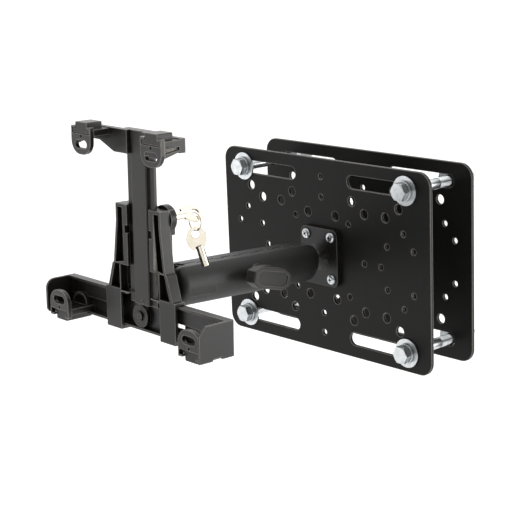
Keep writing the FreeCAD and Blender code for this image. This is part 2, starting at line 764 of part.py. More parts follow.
def lip_outline(grow=0.0):
    """Face of a lip hanging from its rail: square top, round bottom tip at z = 0."""
    half = lip_width / 2 + grow
    body = box(-half, half, lip_front_y, lip_front_y + lip_depth, 0, lip_height)
    return body.makeFillet(lip_corner_r, edges_along(body, V(0, 1, 0), lambda p: p.z < 1))


def lip_rail(front_y, foot_back, neck_back, gap=0.0):
    """T rail along Y: wide foot and a narrow neck over it, rail_from_tip over the lip's tip."""
    foot_top = rail_from_tip + rail_wide_thick
    foot = box(-rail_wide / 2 - gap, rail_wide / 2 + gap, front_y, foot_back, rail_from_tip - gap, foot_top + gap)
    neck_top = foot_top + rail_narrow_thick
    neck = box(-rail_narrow / 2 - gap, rail_narrow / 2 + gap, front_y, neck_back, rail_from_tip, neck_top)
    neck = neck.makeFillet(rail_round, edges_along(neck, V(0, 1, 0), lambda p: p.z > neck_top - 1))
    return foot.fuse(neck)


def lip_arm(front_y, back_y, neck_back):
    """Arm that carries a lip, in the lip's frame: T rail in front and a block behind it."""
    half = bracket_arm_width / 2
    block_front = lip_front_y + lip_depth + slide_gap
    block = box(-half, half, block_front, back_y, arm_block_from_tip, rail_from_tip + rail_wide_thick)
    room = box(-half + 2, half - 2, block_front, back_y - 2, arm_block_from_tip, rail_from_tip)
    return block.cut(room).fuse(lip_rail(front_y, back_y, neck_back))


def arm_brace(back_y, side):
    """Outer wall of a top arm, lower than the arm and with a window, in the lip's frame."""
    front = lip_front_y + lip_depth + slide_gap
    xs = sorted((side * bracket_arm_width / 2, side * (bracket_arm_width / 2 - brace_thick)))
    wall = prism_x([
        (front, brace_front_from_tip), (back_y, brace_rear_from_tip), (back_y, arm_block_from_tip),
        (front, arm_block_from_tip),
    ], xs[0], xs[1])
    window = prism_x([
        (front + brace_post, brace_top_from_tip), (back_y - brace_post, brace_top_from_tip + 2),
        (back_y - brace_post, arm_block_from_tip), (front + brace_post, arm_block_from_tip),
    ], xs[0], xs[1])
    return wall, window


def lip():
    """One lip in its own frame: tip at the origin's height, pointing down."""
    back_y = lip_front_y + lip_depth
    slot = slot_y(-lip_slot_length / 2, lip_slot_length / 2, lip_slot_from_tip, lip_slot_height / 2, lip_front_y, back_y)
    groove = lip_rail(lip_front_y, back_y, back_y, rail_gap)
    screw_hole = cyl(lip_screw_r, lip_depth, (0, lip_front_y, lip_screw_from_tip), (0, 1, 0))
    return lip_outline().cut([slot, groove, screw_hole])


def lip_screw():
    """Set screw of a lip, a little below the lip's face."""
    body = cyl(lip_screw_r, lip_depth - 0.8, (0, lip_front_y + 0.8, lip_screw_from_tip), (0, 1, 0))
    return body.cut(hexagon_y(1.3, lip_front_y + 0.8, lip_front_y + 2.0, 0, lip_screw_from_tip))


def lip_places():
    """Name, x, tip height and whether the lip points up, of the four lips."""
    top, low = top_lip_spacing / 2, bottom_lip_spacing / 2
    return [
        ("top_left", -top, top_lip_tip, False), ("top_right", top, top_lip_tip, False),
        ("bottom_left", -low, bottom_lip_tip, True), ("bottom_right", low, bottom_lip_tip, True),
    ]


def at_lip(shape, x, tip_z, points_up):
    """Take a shape from the lip's own frame to one of the four places."""
    flipped = turned(shape, (0, 0, 0), (0, 1, 0), 180) if points_up else shape
    return moved(flipped, x, 0, tip_z)


def build_lips():
    """The four lips and their screws."""
    for name, x, tip_z, points_up in lip_places():
        parts["lip_" + name] = to_holder(at_lip(lip(), x, tip_z, points_up))
        parts["lip_screw_" + name] = to_holder(at_lip(lip_screw(), x, tip_z, points_up))


def build_tray():
    """Lower tray: open channel beam, end walls and the two lip rails."""
    y0 = face_y + leg_wall + slide_gap
    y1 = tray_back_y()
    beam = box(-tray_half, tray_half, y0, y1, tray_bottom, tray_top)
    hollow = box(-tray_half + tray_wall, tray_half - tray_wall, y0, y1 - tray_wall,
                 tray_bottom + tray_wall, tray_top - tray_wall)
    bar_room = box(-rim_outer, rim_outer, y0, y1 - tray_wall, tray_top - tray_wall, tray_top)
    bar_room = bar_room.fuse(box(-bar_flange_half - 1, bar_flange_half + 1, y0, y1, bar_bottom - 1, tray_top))
    ledge = box(tray_ledge_inner, tray_half - tray_wall - tray_ledge_groove, y1 - tray_wall - tray_ledge_depth,
                y1 - tray_wall, tray_window_top, tray_top - tray_wall - tray_ledge_groove)
    right_wall = prism_x([
        (y1, tray_bottom), (end_wall_front, tray_bottom), (end_wall_front, tray_top - end_wall_chamfer_z),
        (end_wall_front + end_wall_chamfer_y, tray_top), (y1, tray_top),
    ], tray_half - tray_wall, tray_half)
    left_wall = box(-tray_half, -tray_half + tray_wall, left_wall_front, y1, tray_bottom, tray_top)
    left_wall = left_wall.makeFillet(end_wall_round, edges_along(
        left_wall, V(1, 0, 0), lambda p: p.y < left_wall_front + 1 and p.z > tray_top - 1))
    left_wall = left_wall.makeFillet(left_wall_foot_round, edges_along(
        left_wall, V(1, 0, 0), lambda p: p.y < left_wall_front + 1 and p.z < tray_bottom + 1))
    notch = box(-tray_half, tray_half, end_notch_front, end_notch_back, tray_bottom, tray_bottom + end_notch_rise)
    walls = right_wall.fuse(left_wall).cut(notch)
    window = box(tray_window_x - tray_window_width / 2, tray_window_x + tray_window_width / 2, y1 - tray_wall, y1,
                 tray_window_top - tray_window_height, tray_window_top)
    tray = beam.cut([hollow, bar_room]).fuse([ledge, mirrored_x(ledge)]).cut([window, mirrored_x(window)]).fuse(walls)
    rim_y = y0 - carrier_rim
    for name, x, tip_z, points_up in lip_places():
        if points_up:
            arm = lip_arm(lip_front_y + low_rail_set_back, y1 - tray_wall, y1 - tray_wall)
            carrier = box(-carrier_half, carrier_half, rim_y, y1 - tray_wall, carrier_from_tip, rail_from_tip)
            carrier = carrier.makeFillet(carrier_half - 1, edges_along(
                carrier, V(0, 1, 0), lambda p: p.z < carrier_from_tip + 1))
            inner, top = carrier_half - carrier_wall, carrier_from_tip + carrier_wall
            room = box(-inner, inner, rim_y, rim_y + carrier_recess, top, arm_block_from_tip)
            room = room.makeFillet(inner - 1, edges_along(room, V(0, 1, 0), lambda p: p.z < top + 1))
            tray = tray.fuse(at_lip(arm.fuse(carrier.cut(room)), x, tip_z, True))
    pin_hole = cyl(drum_pin_r, tray_wall, (drum_x, y1 - tray_wall, drum_z), (0, 1, 0))
    parts["lower_tray"] = to_holder(tray.removeSplitter().cut(pin_hole))


def build_top_bracket():
    """Top bracket: crossbar with gussets clasping the bar's flanges, two arms and the lip rails."""
    half = top_lip_spacing / 2 + bracket_arm_width / 2
    web_back = bar_back_y - bar_flange_thick - slide_gap
    web_front = web_back - bracket_thick
    y1 = bar_back_y + bracket_pad
    low = bracket_top - bracket_height
    outline = [
        (-half, bracket_top), (half, bracket_top), (half, low), (bracket_gusset_outer, low),
        (bracket_gusset_inner, low - bracket_gusset_drop), (-bracket_gusset_inner, low - bracket_gusset_drop),
        (-bracket_gusset_outer, low), (-half, low),
    ]
    bracket = prism_y(outline, web_front, web_back)
    hollow = [
        (-half + 2, bracket_top - 2), (half - 2, bracket_top - 2), (half - 2, low + 2), (bracket_gusset_outer - 1, low + 2),
        (bracket_gusset_inner - 1, low - bracket_gusset_drop + 2), (-bracket_gusset_inner + 1, low - bracket_gusset_drop + 2),
        (-bracket_gusset_outer + 1, low + 2), (-half + 2, low + 2),
    ]
    clasp_in = bar_flange_half + slide_gap
    clasp_out = clasp_in + bracket_clasp
    foot_z = low - bracket_gusset_drop
    pocket = prism_y(hollow, web_back - bracket_pocket, web_back)
    pocket = pocket.cut(box(-clasp_out, clasp_out, web_front, web_back, foot_z, bracket_top))
    clasp = box(-clasp_out, clasp_out, web_back, y1, foot_z, bracket_top)
    clasp = clasp.cut(box(-clasp_in, clasp_in, web_back, bar_back_y, foot_z, bracket_top))
    rib_room = box(-bar_half - slide_gap, bar_half + slide_gap, web_front, bar_back_y, foot_z, bracket_top)
    bracket = bracket.cut([pocket, rib_room]).fuse(clasp)
    boss_z = bracket_top - bracket_screw_drop
    for name, x, tip_z, points_up in lip_places():
        if not points_up:
            arm = lip_arm(lip_front_y + rail_set_back, web_front, rail_ridge_back)
            wall, opening = arm_brace(web_front, math.copysign(1, x))
            bracket = bracket.fuse(at_lip(arm.fuse(wall).cut(opening), x, tip_z, False))
    screws = []
    for x in (-bracket_screw_x, bracket_screw_x):
        screw = cyl(1.5, bracket_pad + 3, (x, bar_back_y - 3, boss_z), (0, 1, 0))
        head = Part.makeCone(1.5, 3.0, 1.6, V(x, y1 - 1.6, boss_z), V(0, 1, 0))
        whole = screw.fuse(head).removeSplitter()
        bracket = bracket.cut(whole)
        parts["slide_bar"] = parts["slide_bar"].cut(to_holder(whole))
        screws.append(whole.cut(hexagon_y(1.8, y1 - 1.2, y1, x, boss_z)))
    parts["top_bracket"] = to_holder(bracket.removeSplitter())
    parts["bracket_screws"] = to_holder(Part.makeCompound(screws))


def build_rear_cover():
    """Box-shaped cover on the back wall with the lock boss, and its screws."""
    y0, y1 = cheek_back_y, cover_back_y
    column = box(-cover_half, cover_half, y0, y1, cover_bottom, cover_top)
    room = box(-cover_half + cover_wall, cover_half - cover_wall, y0, y1 - cover_wall,
               cover_bottom + cover_wall, cover_top - cover_wall)
    disc = cyl(round_base_r + 1, y1 - y0, (0, y0, 0), (0, 1, 0))
    cap = box(-cheek_half_top + 1, cheek_half_top - 1, y0, lock_back_y, cover_top - 3, cheek_top)
    boss = cyl(lock_boss_r, lock_back_y - y0, (lock_x, y0, lock_z), (0, 1, 0))
    cap_room = box(-cheek_half_top + 3, cheek_half_top - 3, y0, lock_back_y - cover_lid, cover_top - 1, cheek_top - 2)
    barrel_hole = cyl(barrel_r, lock_back_y - y0, (lock_x, y0, lock_z), (0, 1, 0))
    shell = column.fuse([disc, cap, boss]).cut([room, cap_room, barrel_hole])
    screws = []
    for x, z in ((lid_screw_x, cheek_top - lid_screw_drop), (lid_screw_x, cover_top + lid_screw_rise)):
        post = cyl(3.0, lock_back_y - cover_lid - y0 + 0.2, (x, y0, z), (0, 1, 0))
        shell = shell.fuse(post)
        screw = cyl(1.4, lock_back_y - y0 + 1.5, (x, y0 - 1.5, z), (0, 1, 0))
        head = Part.makeCone(1.4, 2.4, 1.2, V(x, lock_back_y - 1.2, z), V(0, 1, 0))
        whole = screw.fuse(head).removeSplitter()
        shell = shell.cut(whole)
        parts["holder_frame"] = parts["holder_frame"].cut(to_holder(whole))
        screws.append(whole.cut(hexagon_y(1.6, lock_back_y - 1, lock_back_y, x, z)))
    for k in range(4):
        angle = math.radians(45 + 90 * k)
        x, z = round_base_pcd / 2 * math.cos(angle), round_base_pcd / 2 * math.sin(angle)
        shell = shell.cut(cyl(round_screw_r, cover_wall, (x, y1 - cover_wall, z), (0, 1, 0)))
    parts["rear_cover"] = to_holder(shell.removeSplitter())
    parts["cover_screws"] = to_holder(Part.makeCompound(screws))


def build_spring_drum():
    """Drum on its pin in the tray, and the strip that runs up to the slide bar."""
    wall_front = tray_back_y() - tray_wall
    y1 = wall_front - slide_gap
    y0 = y1 - drum_width
    drum = turned_y([
        (drum_pin_r + running_gap, y0 - 1.6), (drum_hub_r, y0 - 1.6), (drum_hub_r, y0), (drum_flange_r, y0),
        (drum_flange_r, y0 + drum_flange_thick), (drum_coil_r - strip_thick, y0 + drum_flange_thick),
        (drum_coil_r - strip_thick, y1 - drum_flange_thick), (drum_flange_r, y1 - drum_flange_thick),
        (drum_flange_r, y1), (drum_pin_r + running_gap, y1),
    ])
    parts["spring_drum"] = to_holder(moved(drum, drum_x, 0, drum_z))
    pin = cyl(drum_pin_r, wall_front + tray_wall - y0 + 1.6, (drum_x, y0 - 1.6, drum_z), (0, 1, 0))
    parts["drum_pin"] = to_holder(pin)
    strip_x = drum_x + drum_coil_r
    parts["spring_strip"] = to_holder(box(strip_x - strip_thick / 2, strip_x + strip_thick / 2,
                                          y0 + drum_flange_thick + 0.2, y1 - drum_flange_thick - 0.2,
                                          drum_z, bar_bottom + rivet_rise - rivet_r))


def key_solid():
    """Tubular key along +Y: tip at the origin, shank, then the flat bow in the YZ plane."""
    shank = cyl(key_shank_r, key_shank_length, (0, 0, 0), (0, 1, 0))
    shank = shank.cut(cyl(key_shank_bore_r, key_shank_length * 0.6, (0, 0, 0), (0, 1, 0)))
    half, start = key_bow_width / 2, key_shank_length - key_bow_overlap
    end = start + key_bow_length
    bow = prism_x([
        (start, -half * 0.45), (start + key_bow_shoulder, -half * 0.8), (end - key_bow_taper, -half),
        (end - key_bow_tip, -half * 0.62), (end, -half * 0.25), (end, half * 0.25), (end - key_bow_tip, half * 0.62),
        (end - key_bow_taper, half), (start + key_bow_shoulder, half), (start, half * 0.7),
    ], -key_bow_thick / 2, key_bow_thick / 2)
    hole = cyl(key_hole_r, key_bow_thick, (-key_bow_thick / 2, end - key_hole_r - key_hole_edge, 0), (1, 0, 0))
    return bow.fuse(shank).cut(hole).removeSplitter()


def key_hole_y():
    """Distance from a key's tip to the centre of the hole in its bow."""
    return key_shank_length - key_bow_overlap + key_bow_length - key_hole_r - key_hole_edge


def build_lock():
    """Barrel, plug, cam and pawl, with the key, the ring and the spare key."""
    face = lock_back_y
    axis = (0, 1, 0)
    barrel_in = face - cover_lid
    nose_end = face + barrel_flange_thick + barrel_nose_length
    barrel = cyl(barrel_r, cover_lid, (0, barrel_in, 0), axis)
    flange = Part.makeCone(barrel_flange_r, barrel_flange_r - 1.2, barrel_flange_thick, V(0, face, 0), V(0, 1, 0))
    nose = cyl(barrel_nose_r, nose_end - face, (0, face, 0), axis)
    bore = cyl(plug_r + running_gap, nose_end - barrel_in, (0, barrel_in, 0), axis)
    barrel = barrel.fuse([flange, nose]).cut(bore).removeSplitter()
    parts["lock_barrel"] = to_holder(moved(barrel, lock_x, 0, lock_z))

    plug_back = wall_y + 0.4
    plug_face = nose_end - 0.3
    plug = cyl(plug_r, plug_face - plug_back, (0, plug_back, 0), axis)
    keyway = cyl(key_shank_r + running_gap, key_shank_in_lock, (0, plug_face - key_shank_in_lock, 0), axis)
    post = cyl(key_shank_bore_r - running_gap, key_shank_in_lock, (0, plug_face - key_shank_in_lock, 0), axis)
    plug = plug.cut(keyway).fuse(post).removeSplitter()
    parts["lock_plug"] = to_holder(moved(plug, lock_x, 0, lock_z))

    key = moved(key_solid(), 0, plug_face - key_shank_in_lock, 0)
    key = turned(key, (0, 0, 0), (0, 1, 0), key_rest_turn)
    parts["key_in_lock"] = to_holder(moved(key, lock_x, 0, lock_z))

    tail_front = cheek_back_y + pawl_travel + slide_gap
    tail_back = tail_front + pawl_tail_thick
    nose = box(-pawl_half, pawl_half, wall_y + 0.1, tail_back, -pawl_thick / 2, pawl_thick / 2)
    tail = box(-pawl_half, lock_x - pawl_tail_to_lock, tail_front, tail_back, -pawl_tail_half, pawl_tail_half)
    tail = tail.makeChamfer(1.0, edges_along(tail, V(1, 0, 0), lambda p: p.y > tail_back - 0.1 and p.z < 0))
    parts["lock_pawl"] = to_holder(moved(nose.fuse(tail).removeSplitter(), 0, 0, lock_z))

    cam_front = tail_back - cam_lap
    cam = cyl(plug_r + 1.2, cam_thick, (0, cam_front, 0), axis)
    cam = cam.fuse(box(-cam_width / 2, cam_width / 2, cam_front, cam_front + cam_thick, -cam_reach, 0))
    cam = cam.cut(cyl(plug_r, cam_thick, (0, cam_front, 0), axis))
    parts["lock_cam"] = to_holder(moved(cam.removeSplitter(), lock_x, 0, lock_z))

    hole_y = plug_face - key_shank_in_lock + key_hole_y()
    ring = Part.makeTorus(ring_r, ring_wire_r, V(0, hole_y, -ring_r), V(0, 1, 0))
    parts["key_ring"] = to_holder(moved(ring, lock_x, 0, lock_z))

    spare = turned(key_solid(), (0, 0, 0), (1, 0, 0), 90)
    spare = moved(spare, 0, 0, -key_hole_y())
    spare = turned(spare, (0, 0, 0), (1, 0, 0), spare_lean)
    spare = turned(spare, (0, 0, 0), (0, 0, 1), spare_turn)
    hang_z = -2 * ring_r - key_hole_r + ring_wire_r + 0.3
    parts["spare_key"] = to_holder(moved(spare, lock_x, hole_y, lock_z + hang_z))


def check_solids():
    """Print each node's solids and volume, and the largest box."""
    total = FreeCAD.BoundBox()
    for name, shape in sorted(parts.items()):
        total.add(shape.BoundBox)
        print(f"{name:28s} solids {len(shape.Solids)} valid {shape.isValid()} volume {shape.Volume:10.1f}")
    print("nodes", len(parts), "box", total)


def main():
    """Build every sub-assembly and write one file per node."""
    build_clamp()
    build_ball_base_a()
    build_arm()
    build_ball_base_b()
    build_holder_frame()
    build_slide_bar()
    build_lips()
    build_tray()
    build_top_bracket()
    build_rear_cover()
    build_spring_drum()
    build_lock()
    check_solids()
    os.makedirs("parts", exist_ok=True)
    for name, shape in parts.items():
        shape.exportStep(os.path.join("parts", name + ".step"))


main()
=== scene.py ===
"""Forklift tablet mount, dressed for the studio.

Two slotted plates clamp round a pillar with hex bolts. A ball on the front plate, a two-shell arm
with a wing knob and a second ball carry a lockable tablet holder with two keys.
"""

import json
import logging
import math
from dataclasses import dataclass, field
from enum import Enum
from functools import cache

import bmesh
import bpy
from mathutils import Matrix, Vector


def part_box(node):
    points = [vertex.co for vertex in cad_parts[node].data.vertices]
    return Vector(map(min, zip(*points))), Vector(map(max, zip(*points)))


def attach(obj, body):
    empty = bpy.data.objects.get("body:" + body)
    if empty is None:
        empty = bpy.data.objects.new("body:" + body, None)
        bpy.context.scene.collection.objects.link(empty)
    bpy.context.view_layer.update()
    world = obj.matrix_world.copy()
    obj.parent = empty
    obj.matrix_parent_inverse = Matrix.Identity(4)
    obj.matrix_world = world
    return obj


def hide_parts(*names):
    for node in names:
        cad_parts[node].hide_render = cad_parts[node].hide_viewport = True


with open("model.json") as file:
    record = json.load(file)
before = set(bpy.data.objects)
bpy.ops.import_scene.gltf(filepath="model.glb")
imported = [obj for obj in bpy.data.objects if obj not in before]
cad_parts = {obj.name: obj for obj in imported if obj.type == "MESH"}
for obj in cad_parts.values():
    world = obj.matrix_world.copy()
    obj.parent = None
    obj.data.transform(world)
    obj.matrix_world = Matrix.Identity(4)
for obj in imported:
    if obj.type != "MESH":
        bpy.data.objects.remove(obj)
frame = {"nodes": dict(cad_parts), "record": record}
log = logging.getLogger("tablet_mount")

MM = 0.001
IMAGE_PX = 512
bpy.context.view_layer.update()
BEHAVIOUR = frame["record"]["behaviour"]
NODE_BODY = {node: body for body, nodes in BEHAVIOUR["bodies"].items() for node in nodes}
NODE_SLOT = {part["node"]: part["material_slot"] for part in frame["record"]["subparts"]}
CORNERS = ("top_left", "top_right", "bottom_left", "bottom_right")

# Merging of a CAD mesh, and the angles past which an edge is shaded as sharp
WELD_MM = 0.002
FLAT_DEG = 0.6
SHARP_DEG = 50.0
HEAD_SHARP_DEG = 40.0
THREAD_SHARP_DEG = 35.0
# A cut is shifted by this much, in metres, so that it never runs through a mesh's own corners
CUT_SHIFT = 1e-6
CUT_TOLERANCE = 1e-7
# Fineness of the rolled thread and of wound wire
THREAD_SIDES = 28
THREAD_STEPS = 7.0
WIRE_STEPS = 64
WIRE_SIDES = 12
# Colour of the shade painted into gaps, and the room, as a share of the open, at which a painted edge
# highlight or painted gap shade begins and is whole
GAP_SHADE_COLOUR = "#050505"
EDGE_LIGHT_ROOM = (0.97, 0.55)
GAP_ROOM = 0.8
ROOM_SAMPLES = 6
# How much finer the noise is that breaks up the pebbles of a moulded grain
FINE_RATIO = 2.3
# Steps across a rounded edge, and halvings by which the arm's skin is found
EASE_STEPS = 2
HALVINGS = 30
TINY = 1e-6
# Seed of the screw heads' turns
HEAD_SEED = 7
# Pan head from its seat up to its crown, as shares of its radius and its height
HEAD_PROFILE = ((0.0, 0.0), (1.0, 0.0), (1.0, 0.22), (0.965, 0.5), (0.86, 0.76), (0.68, 0.93), (0.4, 1.0),
                (0.0, 1.0))
HEAD_STEPS = 40
# Cross recess: length and half width of an arm by the head's radius, top and floor by its height
RECESS_ARM = 0.56
RECESS_HALF = 0.15
RECESS_TOP = 1.3
RECESS_FLOOR = 0.3
RECESS_TAPER = 0.62


def linear(hex_colour: str) -> tuple[float, float, float, float]:
    """Turns an sRGB hex colour to linear light.

    Args:
        hex_colour: Six hex digits after a hash.

    Returns:
        Red, green, blue and an opacity of one.
    """
    shares = [int(hex_colour[i : i + 2], 16) / 255 for i in (1, 3, 5)]
    rgb = [s / 12.92 if s <= 0.04045 else ((s + 0.055) / 1.055) ** 2.4 for s in shares]
    return (rgb[0], rgb[1], rgb[2], 1.0)


def add_node(tree: bpy.types.NodeTree, kind: str, links: dict | None = None, **settings) -> bpy.types.Node:
    """Adds a node to a tree, with its settings and what feeds its inputs.

    Args:
        tree: Shader or geometry tree.
        kind: Blender's name of the node type.
        links: Input name or number, and the socket or constant that it takes.
        **settings: Properties of the node itself.

    Returns:
        The new node.
    """
    node = tree.nodes.new(kind)
    for key, value in settings.items():
        setattr(node, key, value)
    for key, value in (links or {}).items():
        if isinstance(value, bpy.types.NodeSocket):
            tree.links.new(value, node.inputs[key])
        else:
            node.inputs[key].default_value = value
    return node


def maths(tree: bpy.types.NodeTree, step: str, first: bpy.types.NodeSocket | float,
          second: bpy.types.NodeSocket | float) -> bpy.types.NodeSocket:
    """Adds one step of arithmetic on two values and hands back the socket of its result."""
    return add_node(tree, "ShaderNodeMath", {0: first, 1: second}, operation=step).outputs[0]


@dataclass(frozen=True)
class Finish:
    """A surface as its maker would name it, from two close shades and a fine relief, with a highlight painted
    on its outer edges and shade painted into its gaps.
    """

    name: str
    shade: str
    shade_worn: str
    painted_edge_light: str
    roughness: float
    roughness_spread: float
    grain_mm: float
    relief_mm: float
    metallic: float = 0.0
    specular: float = 0.5
    edge_light_mm: float = 0.5
    edge_light_share: float = 0.6
    patch_mm: float = 18.0
    crevice_shade_mm: float = 3.0
    crevice_shade_share: float = 0.45
    crevice_shade_dark: float = 0.1

    def relief(self, tree: bpy.types.NodeTree, place: bpy.types.NodeSocket) -> bpy.types.NodeSocket:
        """Makes the height of the fine relief.

        Args:
            tree: Shader tree that gets the nodes.
            place: Object coordinates in metres.

        Returns:
            The height, from 0 to 1.
        """
        grain = add_node(tree, "ShaderNodeTexNoise", {
            "Vector": place, "Scale": 1 / (self.grain_mm * MM), "Detail": 3.0, "Roughness": 0.55,
        })
        return grain.outputs["Fac"]

    def share(self, tree: bpy.types.NodeTree, reach_mm: float, room: tuple[float, float], most: float,
              **side) -> bpy.types.NodeSocket:
        """Makes a share of a surface from how much room each spot of it has.

        Args:
            tree: Shader tree that gets the nodes.
            reach_mm: How far the room is looked for.
            room: Room at which the share is nothing, and room at which it is whole.
            most: The whole share.
            **side: Which side of the surface, and what round it, counts.

        Returns:
            The share.
        """
        found = add_node(tree, "ShaderNodeAmbientOcclusion", {"Distance": reach_mm * MM},
                         samples=ROOM_SAMPLES, **side)
        spread = add_node(tree, "ShaderNodeMapRange", {
            "Value": found.outputs["AO"], "From Min": room[0],
            "From Max": room[1], "To Min": 0.0, "To Max": most,
        })
        return spread.outputs["Result"]

    def material(self) -> bpy.types.Material:
        """Builds the material once and finds it again after that.

        Returns:
            The material with this finish's name.
        """
        made = bpy.data.materials.get(self.name)
        if made:
            return made
        made = bpy.data.materials.new(self.name)
        made.use_nodes = True
        tree = made.node_tree
        tree.nodes.clear()
        place = add_node(tree, "ShaderNodeTexCoord").outputs["Object"]
        patch = add_node(tree, "ShaderNodeTexNoise", {
            "Vector": place, "Scale": 1 / (self.patch_mm * MM), "Detail": 4.0, "Roughness": 0.6,
        })
        mottle = add_node(tree, "ShaderNodeMix", {
            0: patch.outputs["Fac"], 6: linear(self.shade), 7: linear(self.shade_worn),
        }, data_type="RGBA")
        # Painted highlight on outer edges: the edge colour is mixed in where a spot has little room inside,
        # standing in for the light that edges catch
        edge = self.share(tree, self.edge_light_mm, EDGE_LIGHT_ROOM, self.edge_light_share, inside=True, only_local=True)
        lit = add_node(tree, "ShaderNodeMix", {0: edge, 6: mottle.outputs[2], 7: linear(self.painted_edge_light)},
                       data_type="RGBA")
        # Painted shade in gaps: a near-black mixed in where a spot has little room outside, standing in for
        # the shade that falls there
        gap = self.share(tree, self.crevice_shade_mm, (GAP_ROOM, self.crevice_shade_dark), self.crevice_shade_share)
        gap_shaded = add_node(tree, "ShaderNodeMix", {0: gap, 6: lit.outputs[2], 7: linear(GAP_SHADE_COLOUR)},
                          data_type="RGBA")
        height = self.relief(tree, place)
        bump = add_node(tree, "ShaderNodeBump", {
            "Height": height, "Strength": 1.0, "Distance": self.relief_mm * MM,
        })
        gloss = add_node(tree, "ShaderNodeMapRange", {
            "Value": patch.outputs["Fac"], "To Min": self.roughness - self.roughness_spread,
            "To Max": self.roughness + self.roughness_spread,
        })
        shader = add_node(tree, "ShaderNodeBsdfPrincipled", {
            "Base Color": gap_shaded.outputs[2], "Roughness": gloss.outputs["Result"],
            "Normal": bump.outputs["Normal"], "Metallic": self.metallic,
            "Specular IOR Level": self.specular,
        })
        add_node(tree, "ShaderNodeOutputMaterial", {"Surface": shader.outputs["BSDF"]})
        made.diffuse_color = linear(self.shade)
        return made


@dataclass(frozen=True)
class MouldedFinish(Finish):
    """Plastic from a spark-eroded mould: a fine pebbled grain that scatters the light."""

    def relief(self, tree: bpy.types.NodeTree, place: bpy.types.NodeSocket) -> bpy.types.NodeSocket:
        """Pebbles of the mould's eroded face, broken up by a finer noise."""
        pebble = add_node(tree, "ShaderNodeTexVoronoi", {
            "Vector": place, "Scale": 1 / (self.grain_mm * MM), "Smoothness": 0.6,
        }, feature="SMOOTH_F1")
        fine = add_node(tree, "ShaderNodeTexNoise", {
            "Vector": place, "Scale": FINE_RATIO / (self.grain_mm * MM), "Detail": 2.0,
        })
        return maths(tree, "MULTIPLY", pebble.outputs["Distance"], fine.outputs["Fac"])


@dataclass(frozen=True)
class PlatedFinish(Finish):
    """Plated steel: a bright skin with fine scratches along one direction."""

    scratch_stretch: float = 8.0

    def relief(self, tree: bpy.types.NodeTree, place: bpy.types.NodeSocket) -> bpy.types.NodeSocket:
        """Scratches left from tumbling and handling, drawn long and thin."""
        turned = add_node(tree, "ShaderNodeMapping", {
            "Vector": place, "Rotation": (0.5, 0.3, 0.7),
            "Scale": (1.0, 1.0, 1 / self.scratch_stretch),
        })
        lines = add_node(tree, "ShaderNodeTexNoise", {
            "Vector": turned.outputs["Vector"], "Scale": 1 / (self.grain_mm * MM), "Detail": 5.0,
            "Roughness": 0.7,
        })
        return lines.outputs["Fac"]


